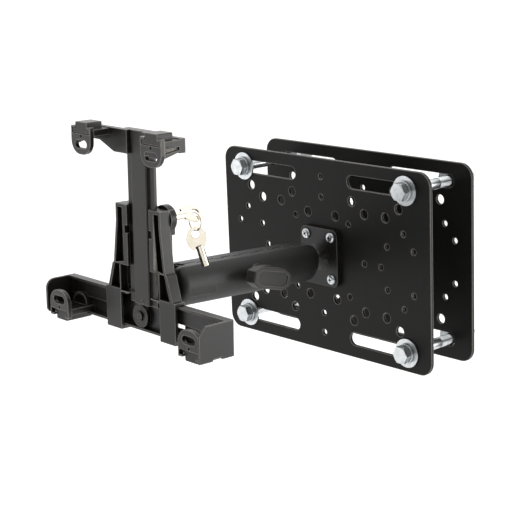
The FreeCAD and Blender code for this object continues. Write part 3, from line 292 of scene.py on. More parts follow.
class Finishes(Enum):
    """Every finish of the mount, by what it is and how its surface was made.

    Grains are coarsened, since a pixel shows almost 1 mm: the plastics' about three times (0.15 to 0.2 mm
    in life), the orange peel about twice, and the scratches on metal about ten times.
    """

    # Each finish's third shade is a highlight painted on its outer edges; its crevice settings set how much
    # shade is painted into its gaps
    # Satin black powder coat on laser-cut steel: a soft orange peel, a thin grey highlight painted on its cut
    # edges
    PLATE_COAT = Finish("satin_black_powder_coat", "#0f0e0d", "#141312", "#a8a39c", 0.46, 0.05, 1.6, 0.02,
                        specular=0.15, edge_light_mm=0.8, edge_light_share=0.8)
    # The same coat on the smaller cast base, a little glossier, with a highlight painted round its rim
    BASE_COAT = Finish("black_coated_steel_base", "#0f0e0d", "#151413", "#8d8881", 0.34, 0.05, 1.4, 0.015,
                       specular=0.3, edge_light_mm=0.6)
    # Bright zinc plate on bolts and washers: cool silver with a cloudy sheen, painted edge highlights and
    # painted shade in the gaps
    ZINC = PlatedFinish("bright_zinc_plated_steel", "#dfe2e3", "#9da1a4", "#f6f8fa", 0.3, 0.08, 0.5, 0.006,
                        metallic=1.0, edge_light_mm=0.5, patch_mm=4.0, crevice_shade_share=0.85)
    # Black oxide on small screws: dark, oily, half matt
    BLACK_OXIDE = PlatedFinish("black_oxide_steel", "#1c1b1a", "#262422", "#8a857e", 0.38, 0.05, 0.5, 0.01,
                               metallic=0.6, edge_light_mm=0.3, patch_mm=4.0)
    # Rubber skin over the balls: dull, with a dusty bloom
    BALL_RUBBER = Finish("matt_black_rubber", "#101010", "#191817", "#3a3836", 0.72, 0.06, 0.5, 0.02,
                         specular=0.3, patch_mm=7.0)
    # Plain drawn steel of the socket rings, the clamp bolt and its spring, the washer and the cam
    PLAIN_STEEL = PlatedFinish("plain_drawn_steel", "#cfcecb", "#b0afac", "#efeeec", 0.2, 0.05, 0.4, 0.003,
                               metallic=1.0, edge_light_mm=0.3, patch_mm=4.0)
    # Glass-filled nylon of the arm: black, fine mould grain that greys in raking light; painted edge
    # highlight and painted seam shade
    ARM_NYLON = MouldedFinish("grained_black_nylon", "#171615", "#1e1d1c", "#8b867f", 0.5, 0.05, 0.55, 0.05,
                              specular=0.4, edge_light_mm=0.7, edge_light_share=0.55, crevice_shade_share=0.95,
                              crevice_shade_dark=0.45)
    # The knob's nylon: the same with a coarser grain, a shade lighter from handling
    KNOB_NYLON = MouldedFinish("coarse_grained_black_nylon", "#1d1c1b", "#272624", "#86817a", 0.56, 0.05, 0.7,
                               0.06, specular=0.4, edge_light_mm=0.8, edge_light_share=0.5)
    # Turned brass insert in the knob
    BRASS = PlatedFinish("turned_brass", "#c9a45c", "#b8934e", "#e6c98c", 0.3, 0.05, 0.4, 0.003, metallic=1.0,
                         patch_mm=4.0)
    # Charcoal ABS of the holder: warm black, satin, with a lighter highlight painted on its edges and shade
    # painted deep into its pockets
    HOLDER_ABS = MouldedFinish("charcoal_moulded_abs", "#0f0d0c", "#161412", "#b0a99f", 0.4, 0.05, 0.45, 0.03,
                               specular=0.34, edge_light_mm=0.8, edge_light_share=0.6, crevice_shade_mm=9.0, crevice_shade_share=0.85)
    # The slide bar and its bracket: the same ABS from another mould, a shade smoother
    BAR_ABS = MouldedFinish("smooth_charcoal_abs", "#151311", "#1d1a17", "#b0a99f", 0.38, 0.05, 0.5, 0.02,
                            specular=0.34, edge_light_mm=0.8, edge_light_share=0.6)
    # The lips: darker and glossier where a tablet rubs
    LIP_ABS = MouldedFinish("dark_polished_abs", "#110f0e", "#191614", "#b4ada3", 0.33, 0.06, 0.5, 0.02,
                            specular=0.36, edge_light_mm=0.8, edge_light_share=0.65)
    # Blackened spring steel of the strip and its drum: dark, oily, a thin highlight painted round its rim
    SPRING_STEEL = PlatedFinish("blackened_spring_steel", "#171616", "#111111", "#7d7973", 0.34, 0.05, 0.4,
                                0.003, metallic=0.5, specular=0.3, patch_mm=4.0)
    # Polished chrome of the lock's barrel and plug
    CHROME = PlatedFinish("polished_chrome", "#dcdcdc", "#cfcfcf", "#f4f4f4", 0.12, 0.03, 0.4, 0.004,
                          metallic=1.0, patch_mm=4.0)
    # Nickel on the keys: warm silver, bright, with a honey-coloured edge light painted on
    NICKEL = PlatedFinish("nickel_plated_brass", "#f0eadc", "#ddd3bf", "#94703a", 0.22, 0.05, 0.5, 0.003,
                          metallic=1.0, edge_light_mm=0.35, edge_light_share=0.7, patch_mm=5.0)


SLOT_FINISH = {
    "plate_coat": Finishes.PLATE_COAT,
    "zinc_steel": Finishes.ZINC,
    "base_coat": Finishes.BASE_COAT,
    "black_screw": Finishes.BLACK_OXIDE,
    "ball_rubber": Finishes.BALL_RUBBER,
    "ring_steel": Finishes.PLAIN_STEEL,
    "arm_nylon": Finishes.ARM_NYLON,
    "knob_nylon": Finishes.KNOB_NYLON,
    "insert_brass": Finishes.BRASS,
    "holder_plastic": Finishes.HOLDER_ABS,
    "bar_plastic": Finishes.BAR_ABS,
    "lip_plastic": Finishes.LIP_ABS,
    "spring_steel": Finishes.SPRING_STEEL,
    "lock_chrome": Finishes.CHROME,
    "key_nickel": Finishes.NICKEL,
}


def cad_mesh(node: str) -> bmesh.types.BMesh:
    """Copies a CAD node's mesh, with its loose triangles merged back into flat faces.

    Args:
        node: Name of the CAD node.

    Returns:
        The merged copy, in the row frame.
    """
    bm = bmesh.new()
    bm.from_mesh(frame["nodes"][node].data)
    bmesh.ops.remove_doubles(bm, verts=bm.verts, dist=WELD_MM * MM)
    bmesh.ops.dissolve_limit(bm, angle_limit=math.radians(FLAT_DEG), verts=bm.verts, edges=bm.edges)
    return bm


def slice_mesh(bm: bmesh.types.BMesh, place: Vector | tuple, normal: Vector | tuple) -> None:
    """Cuts every face that a plane through a place crosses, and keeps both sides."""
    geom = list(bm.verts) + list(bm.edges) + list(bm.faces)
    bmesh.ops.bisect_plane(bm, geom=geom, plane_co=place, plane_no=normal, dist=CUT_TOLERANCE)


def to_object(bm: bmesh.types.BMesh, name: str) -> bpy.types.Object:
    """Makes a scene object of a mesh and frees the mesh."""
    mesh = bpy.data.meshes.new(name)
    bm.to_mesh(mesh)
    bm.free()
    obj = bpy.data.objects.new(name, mesh)
    bpy.context.scene.collection.objects.link(obj)
    return obj


def baked(obj: bpy.types.Object) -> bpy.types.Object:
    """Turns an object's modifiers into its plain mesh.

    Args:
        obj: Object with live modifiers.

    Returns:
        The same object with the result as its mesh and no modifier left.
    """
    graph = bpy.context.evaluated_depsgraph_get()
    mesh = bpy.data.meshes.new_from_object(obj.evaluated_get(graph))
    mesh.name = obj.name
    obj.modifiers.clear()
    obj.data = mesh
    return obj


def eased(obj: bpy.types.Object, width_mm: float, angle: float = 38.0,
          clamp: bool = False) -> bpy.types.Object:
    """Rounds an object's sharp edges as a mould or a file leaves them.

    Args:
        obj: Object with a merged mesh.
        width_mm: Width of the rounding.
        angle: Edges sharper than this, in degrees, are rounded.
        clamp: Whether the rounding stops where two would meet.

    Returns:
        The object with its edges rounded and its flat faces shaded flat.
    """
    if width_mm > 0:
        bevel = obj.modifiers.new("ease", "BEVEL")
        bevel.width = width_mm * MM
        bevel.segments = EASE_STEPS
        bevel.limit_method = "ANGLE"
        bevel.angle_limit = math.radians(angle)
        bevel.use_clamp_overlap = clamp
        bevel.miter_outer = "MITER_ARC"
        baked(obj)
    obj.data.shade_smooth()
    obj.data.set_sharp_from_angle(angle=math.radians(SHARP_DEG))
    even = obj.modifiers.new("even", "WEIGHTED_NORMAL")
    even.keep_sharp = True
    return baked(obj)


def seat(obj: bpy.types.Object, body: str, slot: str, *nodes: str) -> bpy.types.Object:
    """Gives a finished piece its finish and its body, and says which CAD nodes it stands for.

    Args:
        obj: Finished piece.
        body: CAD body that carries it.
        slot: Material slot of the record.
        *nodes: CAD nodes that it replaces.

    Returns:
        The same object.
    """
    obj.data.materials.clear()
    obj.data.materials.append(SLOT_FINISH[slot].value.material())
    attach(obj, body)
    if nodes:
        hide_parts(*nodes)
    return obj


@dataclass(frozen=True)
class Winding:
    """A wire wound about an axis, by its sizes in millimetres."""

    turns: float
    inner_mm: float
    outer_mm: float
    wire_mm: float
    rise_mm: float


@dataclass
class SubAssembly:
    """Pieces that are built and dressed together."""

    title: str
    made: list[bpy.types.Object] = field(default_factory=list)

    def ease_node(self, node: str, width_mm: float) -> None:
        """Stands an eased copy in for one CAD node.

        Args:
            node: CAD node.
            width_mm: Width of the rounding on its edges.
        """
        obj = eased(to_object(cad_mesh(node), node + "_eased"), width_mm)
        self.made.append(seat(obj, NODE_BODY[node], NODE_SLOT[node], node))

    def dress_node(self, node: str, finish: Finishes | None = None) -> None:
        """Gives a CAD node that stays its own finish, or the one named."""
        obj = frame["nodes"][node]
        obj.data.materials.clear()
        obj.data.materials.append((finish or SLOT_FINISH[NODE_SLOT[node]]).value.material())

    def wind(self, name: str, node: str, winding: Winding, offset_mm: float = 0.0,
             stands_for: bool = False) -> None:
        """Winds a wire about the axis of a CAD node's joint.

        Args:
            name: Name of the piece.
            node: CAD node whose centre, body and finish the wire takes.
            winding: Sizes of the winding.
            offset_mm: Distance from the node's centre along the axis.
            stands_for: Whether the wire replaces the node.
        """
        body = NODE_BODY[node]
        axis = next(Vector(joint["axis"]) for joint in BEHAVIOUR["joints"] if joint["child"] == body)
        low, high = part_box(node)
        obj = grow(to_object(bmesh.new(), name), wire_tree(), {
            "Turns": winding.turns,
            "Inner": winding.inner_mm * MM,
            "Outer": winding.outer_mm * MM,
            "Wire": winding.wire_mm * MM,
            "Rise": winding.rise_mm * MM,
            "Centre": (Vector(low) + Vector(high)) / 2 + axis * offset_mm * MM,
            "Aim": Vector(axis.to_track_quat("Z", "Y").to_euler()),
            "Finish": SLOT_FINISH[NODE_SLOT[node]].value.material(),
        })
        obj.data.shade_smooth()
        self.made.append(seat(obj, body, NODE_SLOT[node], *([node] if stands_for else [])))

    def build(self) -> None:
        """Builds every piece."""
        raise NotImplementedError

    def report(self) -> None:
        """Logs each piece with its count of faces."""
        for obj in self.made:
            log.info("%s: %s, %d faces", self.title, obj.name, len(obj.data.polygons))


def grow(obj: bpy.types.Object, tree: bpy.types.NodeTree, values: dict) -> bpy.types.Object:
    """Runs a geometry tree on an object and keeps the result as its plain mesh.

    Args:
        obj: Object that the tree starts from.
        tree: Geometry tree.
        values: Input name and value, set by the inputs' identifiers.

    Returns:
        The same object.
    """
    modifier = obj.modifiers.new(tree.name, "NODES")
    modifier.node_group = tree
    for item in tree.interface.items_tree:
        if item.item_type == "SOCKET" and item.in_out == "INPUT" and item.name in values:
            modifier[item.identifier] = values[item.name]
    return baked(obj)


def new_tree(name: str, inputs: dict[str, str]) -> tuple[bpy.types.NodeTree, bpy.types.NodeOutputs]:
    """Starts a geometry tree with named inputs and one geometry output.

    Args:
        name: Name of the tree.
        inputs: Input name and socket type.

    Returns:
        The tree and the sockets that give its inputs.
    """
    tree = bpy.data.node_groups.new(name, "GeometryNodeTree")
    tree.interface.new_socket("Geometry", in_out="OUTPUT", socket_type="NodeSocketGeometry")
    for key, kind in inputs.items():
        tree.interface.new_socket(key, in_out="INPUT", socket_type=kind)
    return tree, tree.nodes.new("NodeGroupInput").outputs


def end_tree(tree: bpy.types.NodeTree, geometry: bpy.types.NodeSocket, finish: bpy.types.NodeSocket) -> None:
    """Ends a geometry tree with real geometry that carries its finish."""
    real = add_node(tree, "GeometryNodeRealizeInstances", {"Geometry": geometry})
    painted = add_node(tree, "GeometryNodeSetMaterial", {"Geometry": real.outputs[0], "Material": finish})
    add_node(tree, "NodeGroupOutput", {"Geometry": painted.outputs[0]})


@cache
def thread_tree() -> bpy.types.NodeTree:
    """Builds the tree of a rolled screw thread along Y.

    Returns:
        A tree that turns a cylinder's radius into a helical ridge.
    """
    tree, given = new_tree("rolled_thread", {
        "Radius": "NodeSocketFloat", "Depth": "NodeSocketFloat",
        "Pitch": "NodeSocketFloat", "Length": "NodeSocketFloat",
        "Start": "NodeSocketVector", "Finish": "NodeSocketMaterial",
    })
    turns = maths(tree, "DIVIDE", given["Length"], given["Pitch"])
    steps = maths(tree, "MULTIPLY", turns, THREAD_STEPS)
    rod = add_node(tree, "GeometryNodeMeshCylinder", {
        "Vertices": THREAD_SIDES, "Side Segments": steps, "Radius": 1.0, "Depth": given["Length"],
    })
    spot = add_node(tree, "GeometryNodeInputPosition")
    split = add_node(tree, "ShaderNodeSeparateXYZ", {0: spot.outputs[0]})
    turn = maths(tree, "ARCTAN2", split.outputs[1], split.outputs[0])
    share = maths(tree, "DIVIDE", turn, 2 * math.pi)
    along = maths(tree, "DIVIDE", split.outputs[2], given["Pitch"])
    phase = maths(tree, "SUBTRACT", along, share)
    ridge = maths(tree, "PINGPONG", phase, 0.5)
    drop = maths(tree, "MULTIPLY", ridge, given["Depth"])
    reach = maths(tree, "SUBTRACT", given["Radius"], maths(tree, "MULTIPLY", drop, 2.0))
    x = maths(tree, "MULTIPLY", split.outputs[0], reach)
    y = maths(tree, "MULTIPLY", split.outputs[1], reach)
    place = add_node(tree, "ShaderNodeCombineXYZ", {0: x, 1: y, 2: split.outputs[2]})
    cut = add_node(tree, "GeometryNodeSetPosition", {
        "Geometry": rod.outputs["Mesh"], "Position": place.outputs[0],
    })
    laid = add_node(tree, "GeometryNodeTransform", {
        "Geometry": cut.outputs[0], "Translation": given["Start"],
        "Rotation": (-math.pi / 2, 0.0, 0.0),
    })
    end_tree(tree, laid.outputs[0], given["Finish"])
    return tree


@cache
def screw_row_tree() -> bpy.types.NodeTree:
    """Builds the tree that sets one screw head on each point of a mesh.

    Returns:
        A tree that turns each head by its own amount about its axis.
    """
    tree, given = new_tree("screw_heads_on_points", {
        "Geometry": "NodeSocketGeometry", "Head": "NodeSocketObject",
        "Aim": "NodeSocketVector", "Turn": "NodeSocketFloat", "Finish": "NodeSocketMaterial",
    })
    head = add_node(tree, "GeometryNodeObjectInfo", {"Object": given["Head"]})
    laid = add_node(tree, "GeometryNodeInstanceOnPoints", {
        "Points": given["Geometry"], "Instance": head.outputs["Geometry"], "Rotation": given["Aim"],
    })
    any_turn = add_node(tree, "FunctionNodeRandomValue", {"Seed": HEAD_SEED}, data_type="FLOAT")
    amount = maths(tree, "MULTIPLY", any_turn.outputs[1], given["Turn"])
    about = add_node(tree, "ShaderNodeCombineXYZ", {2: amount})
    turned = add_node(tree, "GeometryNodeRotateInstances", {
        "Instances": laid.outputs[0], "Rotation": about.outputs[0],
    })
    end_tree(tree, turned.outputs[0], given["Finish"])
    return tree


@cache
def wire_tree() -> bpy.types.NodeTree:
    """Builds the tree of round wire wound about an axis.

    Returns:
        A tree that winds a wire between two radii, with a rise along the axis.
    """
    tree, given = new_tree("wound_wire", {
        "Turns": "NodeSocketFloat", "Inner": "NodeSocketFloat",
        "Outer": "NodeSocketFloat", "Wire": "NodeSocketFloat",
        "Rise": "NodeSocketFloat", "Centre": "NodeSocketVector",
        "Aim": "NodeSocketVector", "Finish": "NodeSocketMaterial",
    })
    line = add_node(tree, "GeometryNodeCurveSpiral", {
        "Resolution": WIRE_STEPS, "Rotations": given["Turns"], "Start Radius": given["Inner"],
        "End Radius": given["Outer"], "Height": given["Rise"],
    })
    section = add_node(tree, "GeometryNodeCurvePrimitiveCircle", {
        "Resolution": WIRE_SIDES, "Radius": given["Wire"],
    })
    wire = add_node(tree, "GeometryNodeCurveToMesh", {
        "Curve": line.outputs[0], "Profile Curve": section.outputs[0], "Fill Caps": True,
    })
    half = maths(tree, "MULTIPLY", given["Rise"], -0.5)
    down = add_node(tree, "ShaderNodeCombineXYZ", {2: half})
    even = add_node(tree, "GeometryNodeTransform", {
        "Geometry": wire.outputs[0], "Translation": down.outputs[0],
    })
    laid = add_node(tree, "GeometryNodeTransform", {
        "Geometry": even.outputs[0], "Translation": given["Centre"], "Rotation": given["Aim"],
    })
    end_tree(tree, laid.outputs[0], given["Finish"])
    return tree


def cross_head(name: str, radius_mm: float, height_mm: float) -> bpy.types.Object:
    """Makes one pan head with a cross recess, its seat at the origin and its crown up Z.

    Args:
        name: Name of the object.
        radius_mm: Radius of the head.
        height_mm: Height of the crown above the seat.

    Returns:
        The head, which is used as a model and not shown.
    """
    r, h = radius_mm * MM, height_mm * MM
    bm = bmesh.new()
    rim = [bm.verts.new((x * r, 0, z * h)) for x, z in HEAD_PROFILE]
    edges = [bm.edges.new(pair) for pair in zip(rim, rim[1:])]
    bmesh.ops.spin(bm, geom=rim + edges, cent=(0, 0, 0), axis=(0, 0, 1), angle=2 * math.pi, steps=HEAD_STEPS)
    bmesh.ops.remove_doubles(bm, verts=bm.verts, dist=WELD_MM / 2 * MM)
    bmesh.ops.recalc_face_normals(bm, faces=bm.faces)
    head = to_object(bm, name)
    arm, wide = RECESS_ARM * r, RECESS_HALF * r
    outline = [(arm, wide), (wide, wide), (wide, arm), (-wide, arm), (-wide, wide), (-arm, wide),
               (-arm, -wide), (-wide, -wide), (-wide, -arm), (wide, -arm), (wide, -wide), (arm, -wide)]
    cut = bmesh.new()
    top = [cut.verts.new((x, y, RECESS_TOP * h)) for x, y in outline]
    low = [cut.verts.new((RECESS_TAPER * x, RECESS_TAPER * y, RECESS_FLOOR * h)) for x, y in outline]
    cut.faces.new(top)
    cut.faces.new(low[::-1])
    for here, after in zip(range(len(outline)), [*range(1, len(outline)), 0]):
        cut.faces.new((top[here], low[here], low[after], top[after]))
    bmesh.ops.recalc_face_normals(cut, faces=cut.faces)
    cutter = to_object(cut, name + "_cutter")
    hole = head.modifiers.new("recess", "BOOLEAN")
    hole.object = cutter
    hole.solver = "EXACT"
    baked(head)
    bpy.data.objects.remove(cutter)
    head.data.shade_smooth()
    head.data.set_sharp_from_angle(angle=math.radians(HEAD_SHARP_DEG))
    head.hide_render = True
    head.hide_viewport = True
    return head


def points_object(name: str, places: list[Vector]) -> bpy.types.Object:
    """Makes a mesh of loose points."""
    bm = bmesh.new()
    for place in places:
        bm.verts.new(place)
    return to_object(bm, name)


@dataclass
class ClampPlates(SubAssembly):
    """The two slotted plates, powder coated after laser cutting."""

    rim_mm: float = 0.35

    def build(self) -> None:
        """Eases the plates' rims, holes and slots."""
        for node in ("front_plate", "rear_plate"):
            self.ease_node(node, self.rim_mm)


@dataclass
class BoltSets(SubAssembly):
    """Four hex bolts with spring and flat washers in front, nuts and washers behind."""

    head_ease_mm: float = 0.3
    shank_r_mm: float = 4.75
    thread_depth_mm: float = 0.55
    thread_pitch_mm: float = 1.59
    thread_length_mm: float = 44.0
    tip_gap_mm: float = 0.8
    run_out_mm: float = 0.6
    under_crests_mm: float = 0.05
    washer_ease_mm: float = 0.25

    def thread(self, corner: str) -> None:
        """Rolls the thread on one bolt's tail.

        Args:
            corner: Corner of the plates that the bolt is at.
        """
        low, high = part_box("bolt_" + corner)
        middle = Vector(((low.x + high.x) / 2, high.y - (self.tip_gap_mm + self.thread_length_mm / 2) * MM,
                         (low.z + high.z) / 2))
        obj = grow(to_object(bmesh.new(), "bolt_thread_" + corner), thread_tree(), {
            "Radius": self.shank_r_mm * MM,
            "Depth": self.thread_depth_mm * MM,
            "Pitch": self.thread_pitch_mm * MM,
            "Length": self.thread_length_mm * MM,
            "Start": middle,
            "Finish": Finishes.ZINC.value.material(),
        })
        obj.data.shade_smooth()
        obj.data.set_sharp_from_angle(angle=math.radians(THREAD_SHARP_DEG))
        self.made.append(seat(obj, "bolt_" + corner, "zinc_steel"))

    def bolt(self, corner: str) -> None:
        """Eases one bolt and thins its shank under the thread's crests.

        Args:
            corner: Corner of the plates that the bolt is at.
        """
        node = "bolt_" + corner
        low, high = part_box(node)
        cx, cz = (low.x + high.x) / 2, (low.z + high.z) / 2
        bm = cad_mesh(node)
        thread_start = high.y - (self.tip_gap_mm + self.thread_length_mm) * MM
        for at in (thread_start, thread_start + self.run_out_mm * MM):
            slice_mesh(bm, (cx, at, cz), (0, 1, 0))
        shrink = (self.shank_r_mm - self.thread_depth_mm - self.under_crests_mm) / self.shank_r_mm
        for vert in bm.verts:
            if vert.co.y > thread_start + self.run_out_mm / 2 * MM:
                vert.co.x = cx + (vert.co.x - cx) * shrink
                vert.co.z = cz + (vert.co.z - cz) * shrink
        obj = eased(to_object(bm, node + "_eased"), self.head_ease_mm)
        self.made.append(seat(obj, node, NODE_SLOT[node], node))

    def build(self) -> None:
        """Builds each corner's bolt, thread, washers and nut."""
        for corner in CORNERS:
            self.bolt(corner)
            self.thread(corner)
            for part in ("bolt_washers_", "nut_washer_", "nut_"):
                self.ease_node(part + corner, self.washer_ease_mm)


@dataclass
class FrontBall(SubAssembly):
    """The coated base on the front plate, its zinc screws and its rubber-skinned ball."""

    screw_r_mm: float = 4.6
    screw_rise_mm: float = 2.6
    screw_turn: float = 1.2
    base_ease_mm: float = 0.4

    def build(self) -> None:
        """Eases the base and sets four cross-recessed heads on it."""
        self.ease_node("ball_base_front", self.base_ease_mm)
        for node in ("ball_cover_front", "socket_ring_front"):
            self.dress_node(node)
        low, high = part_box("base_screws")
        r = self.screw_r_mm * MM
        head = cross_head("base_screw_model", self.screw_r_mm, self.screw_rise_mm)
        seat_y = low.y + self.screw_rise_mm * MM
        places = [Vector((x, seat_y, z)) for x in (low.x + r, high.x - r) for z in (low.z + r, high.z - r)]
        obj = grow(points_object("base_screw_heads", places), screw_row_tree(), {
            "Head": head,
            "Aim": Vector((math.pi / 2, 0, 0)),
            "Turn": self.screw_turn,
            "Finish": Finishes.ZINC.value.material(),
        })
        obj.data.set_sharp_from_angle(angle=math.radians(HEAD_SHARP_DEG))
        self.made.append(seat(obj, "front_plate", "zinc_steel", "base_screws"))


@dataclass
class ArmFrame:
    """The arm's own directions: along it from the first ball, across it and up."""

    start: Vector
    along: Vector
    up: Vector

    @staticmethod
    def found() -> "ArmFrame":
        """Takes the two balls' centres from the joints."""
        places = {joint["name"]: joint.get("pos_m") for joint in BEHAVIOUR["joints"]}
        start, end = Vector(places["arm_pitch"]), Vector(places["holder_pitch"])
        along = (end - start).normalized()
        return ArmFrame(start, along, along.cross(Vector((1, 0, 0))))

    def inward(self, point: Vector) -> Vector:
        """Turns a place in the row frame to across, along and up."""
        offset = point - self.start
        return Vector((offset.x, offset.dot(self.along), offset.dot(self.up)))

    def outward(self, local: Vector) -> Vector:
        """Turns across, along and up to a place in the row frame."""
        return self.start + Vector((local.x, 0, 0)) + self.along * local.y + self.up * local.z


@dataclass
class Arm(SubAssembly):
    """The two-shell arm, its wing knob and the parts between the shells."""

    half_width_mm: float = 18.0
    half_height_mm: float = 19.0
    corner_mm: float = 8.0
    top_flat_mm: float = 10.0
    crown_mm: float = 16.2
    core_mm: float = 14.3
    nose_from_mm: float = -14.0
    nose_length_mm: float = 17.0
    nose_share: float = 0.7
    neck_core_mm: float = 11.0
    least_skin_mm: float = 0.6
    skin_step_mm: float = 2.5
    skin_steps: int = 7
    nose_cuts: tuple[float, float, int] = (-12.0, 2.0, 9)
    body_cuts: tuple[float, float, int] = (10.0, 8.0, 17)
    label_depth_mm: float = 0.4
    label_span_mm: tuple[float, float] = (93.0, 120.0)
    label_half_mm: float = 4.0
    label_move_mm: tuple[float, float] = (16.0, -5.0)
    label_slack_mm: float = 0.1
    seam_mm: float = 1.0
    seam_half_mm: float = 0.5
    tab_keep: float = 0.55
    tab_floor_mm: float = 14.6
    boss_r_mm: float = 9.8
    boss_bore_mm: float = 4.4
    boss_depth_mm: float = 5.0
    boss_round_mm: tuple[float, float, float] = (0.8, 0.25, 0.9)
    boss_steps: int = 48
    ease_mm: float = 0.4
    ease_deg: float = 28.0
    knob_ease_mm: float = 0.5

    def solid_reach(self, turn: float) -> float:
        """Finds how far the CAD shell's outer skin is from the axis, in one direction across it.

        Args:
            turn: Direction, as an angle from sideways to up.

        Returns:
            The distance in millimetres.
        """
        across, up = abs(math.cos(turn)), abs(math.sin(turn))
        flat_x, flat_z = self.half_width_mm - self.corner_mm, self.half_height_mm - self.corner_mm
        low, high = 0.0, 2 * self.half_height_mm
        for _ in range(HALVINGS):
            reach = (low + high) / 2
            over_x, over_z = max(across * reach - flat_x, 0.0), max(up * reach - flat_z, 0.0)
            if math.hypot(over_x, over_z) > self.corner_mm:
                high = reach
            else:
                low = reach
        return low

    def moulded_reach(self, turn: float, along_mm: float) -> float:
        """Finds the same for the moulding: flat along the seams, bowed at the sides, a rounded nose.

        Args:
            turn: Direction, as an angle from sideways to up.
            along_mm: Distance along the arm from the first ball.

        Returns:
            The distance in millimetres.
        """
        across, up = abs(math.cos(turn)), abs(math.sin(turn))
        wide, flat, crown = self.half_width_mm, self.top_flat_mm, self.crown_mm
        centre = (flat * flat + crown * crown - wide * wide) / (2 * (flat - wide))
        bow = wide - centre
        side = centre * across + math.sqrt(max(bow * bow - (centre * up) ** 2, 0.0))
        reach = min(side, crown / max(up, TINY))
        into = 1 - (along_mm - self.nose_from_mm) / self.nose_length_mm
        nose = math.sqrt(1 - (1 - self.nose_share ** 2) * max(into, 0.0) ** 2)
        return reach * nose

    def reshape(self, bm: bmesh.types.BMesh, arm: ArmFrame, side: str) -> None:
        """Draws the shell's outer skin in to the moulding's section, and leaves its inside alone.

        Args:
            bm: Merged mesh of one shell.
            arm: The arm's directions.
            side: Side of the arm, left or right.
        """
        sides = [k * self.skin_step_mm for k in range(-self.skin_steps, self.skin_steps + 1)]
        cuts = [(2, at) for at in sides] + [(0, at) for at in sides if at]
        for first, step, count in (self.nose_cuts, self.body_cuts):
            cuts += [(1, first + step * k) for k in range(count)]
        normals = (Vector((1, 0, 0)), arm.along, arm.up)
        for way, at in cuts:
            local = Vector((0, 0, 0))
            local[way] = at * MM + CUT_SHIFT
            slice_mesh(bm, arm.outward(local), normals[way])
        for vert in bm.verts:
            local = arm.inward(vert.co) / MM
            out, turn = math.hypot(local.x, local.z), math.atan2(local.z, local.x)
            core = self.core_mm
            if local.y < 0:
                core = max(math.sqrt(max(core * core - local.y * local.y, 0.0)), self.neck_core_mm)
            if out <= core:
                continue
            half = self.seam_half_mm
            if abs(local.z) > self.tab_floor_mm and local.x > half and side == "left":
                local.x = half + (local.x - half) * self.tab_keep
            elif abs(local.z) > self.tab_floor_mm and abs(local.x) < half:
                local.x = math.copysign(self.seam_mm, local.x)
            full = self.solid_reach(turn)
            wanted = max(self.moulded_reach(turn, local.y), core + self.least_skin_mm)
            new = core + (out - core) * min((wanted - core) / (full - core), 1.0)
            vert.co = arm.outward(Vector((local.x * new / out, local.y, local.z * new / out)) * MM)

    def move_label(self, bm: bmesh.types.BMesh, arm: ArmFrame) -> None:
        """Slides the shallow bare recess along the side towards the holder.

        Args:
            bm: Merged mesh of the right shell, before it is reshaped.
            arm: The arm's directions.
        """
        floor, face = self.half_width_mm - self.label_depth_mm, self.half_width_mm
        slack = self.label_slack_mm
        for vert in bm.verts:
            local = arm.inward(vert.co) / MM
            inside = self.label_span_mm[0] - slack < local.y < self.label_span_mm[1] + slack
            inside = inside and abs(local.z) < self.label_half_mm + slack
            if inside and (abs(local.x - floor) < slack / 2 or abs(local.x - face) < slack / 2):
                local.y += self.label_move_mm[0]
                local.z += self.label_move_mm[1]
                vert.co = arm.outward(local * MM)

    def shell(self, side: str, arm: ArmFrame) -> None:
        """Builds one shell.

        Args:
            side: Side of the arm, left or right.
            arm: The arm's directions.
        """
        node = "arm_shell_" + side
        bm = cad_mesh(node)
        if side == "right":
            self.move_label(bm, arm)
        self.reshape(bm, arm, side)
        obj = eased(to_object(bm, node + "_moulded"), self.ease_mm, angle=self.ease_deg)
        self.made.append(seat(obj, NODE_BODY[node], NODE_SLOT[node], node))

    def boss(self) -> None:
        """Builds the round seat that the knob's washer presses on, as a ring of its own."""
        low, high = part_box("knob_washer")
        seat_x, cy, cz = low.x, (low.y + high.y) / 2, (low.z + high.z) / 2
        r, bore, depth = self.boss_r_mm * MM, self.boss_bore_mm * MM, self.boss_depth_mm * MM
        lead, shoulder, fall = (mm * MM for mm in self.boss_round_mm)
        profile = [(seat_x - depth, bore), (seat_x, bore), (seat_x, r - lead),
                   (seat_x - shoulder, r - shoulder), (seat_x - fall, r), (seat_x - depth, r)]
        bm = bmesh.new()
        ring = [bm.verts.new((x, cy, cz + out)) for x, out in profile]
        edges = [bm.edges.new(pair) for pair in zip(ring, ring[1:] + ring[:1])]
        bmesh.ops.spin(bm, geom=ring + edges, cent=(0, cy, cz), axis=(1, 0, 0), angle=2 * math.pi,
                       steps=self.boss_steps)
        bmesh.ops.remove_doubles(bm, verts=bm.verts, dist=WELD_MM / 4 * MM)
        bmesh.ops.recalc_face_normals(bm, faces=bm.faces)
        obj = eased(to_object(bm, "knob_seat"), 0.0)
        self.made.append(seat(obj, "arm", "arm_nylon"))

    def build(self) -> None:
        """Builds the shells and the knob, and dresses what stays."""
        arm = ArmFrame.found()
        self.shell("right", arm)
        self.shell("left", arm)
        self.boss()
        knob = eased(to_object(cad_mesh("wing_knob"), "wing_knob_eased"), self.knob_ease_mm, clamp=True)
        self.made.append(seat(knob, NODE_BODY["wing_knob"], NODE_SLOT["wing_knob"], "wing_knob"))
        for node in ("knob_insert", "clamp_bolt", "knob_washer", "arm_spring"):
            self.dress_node(node)


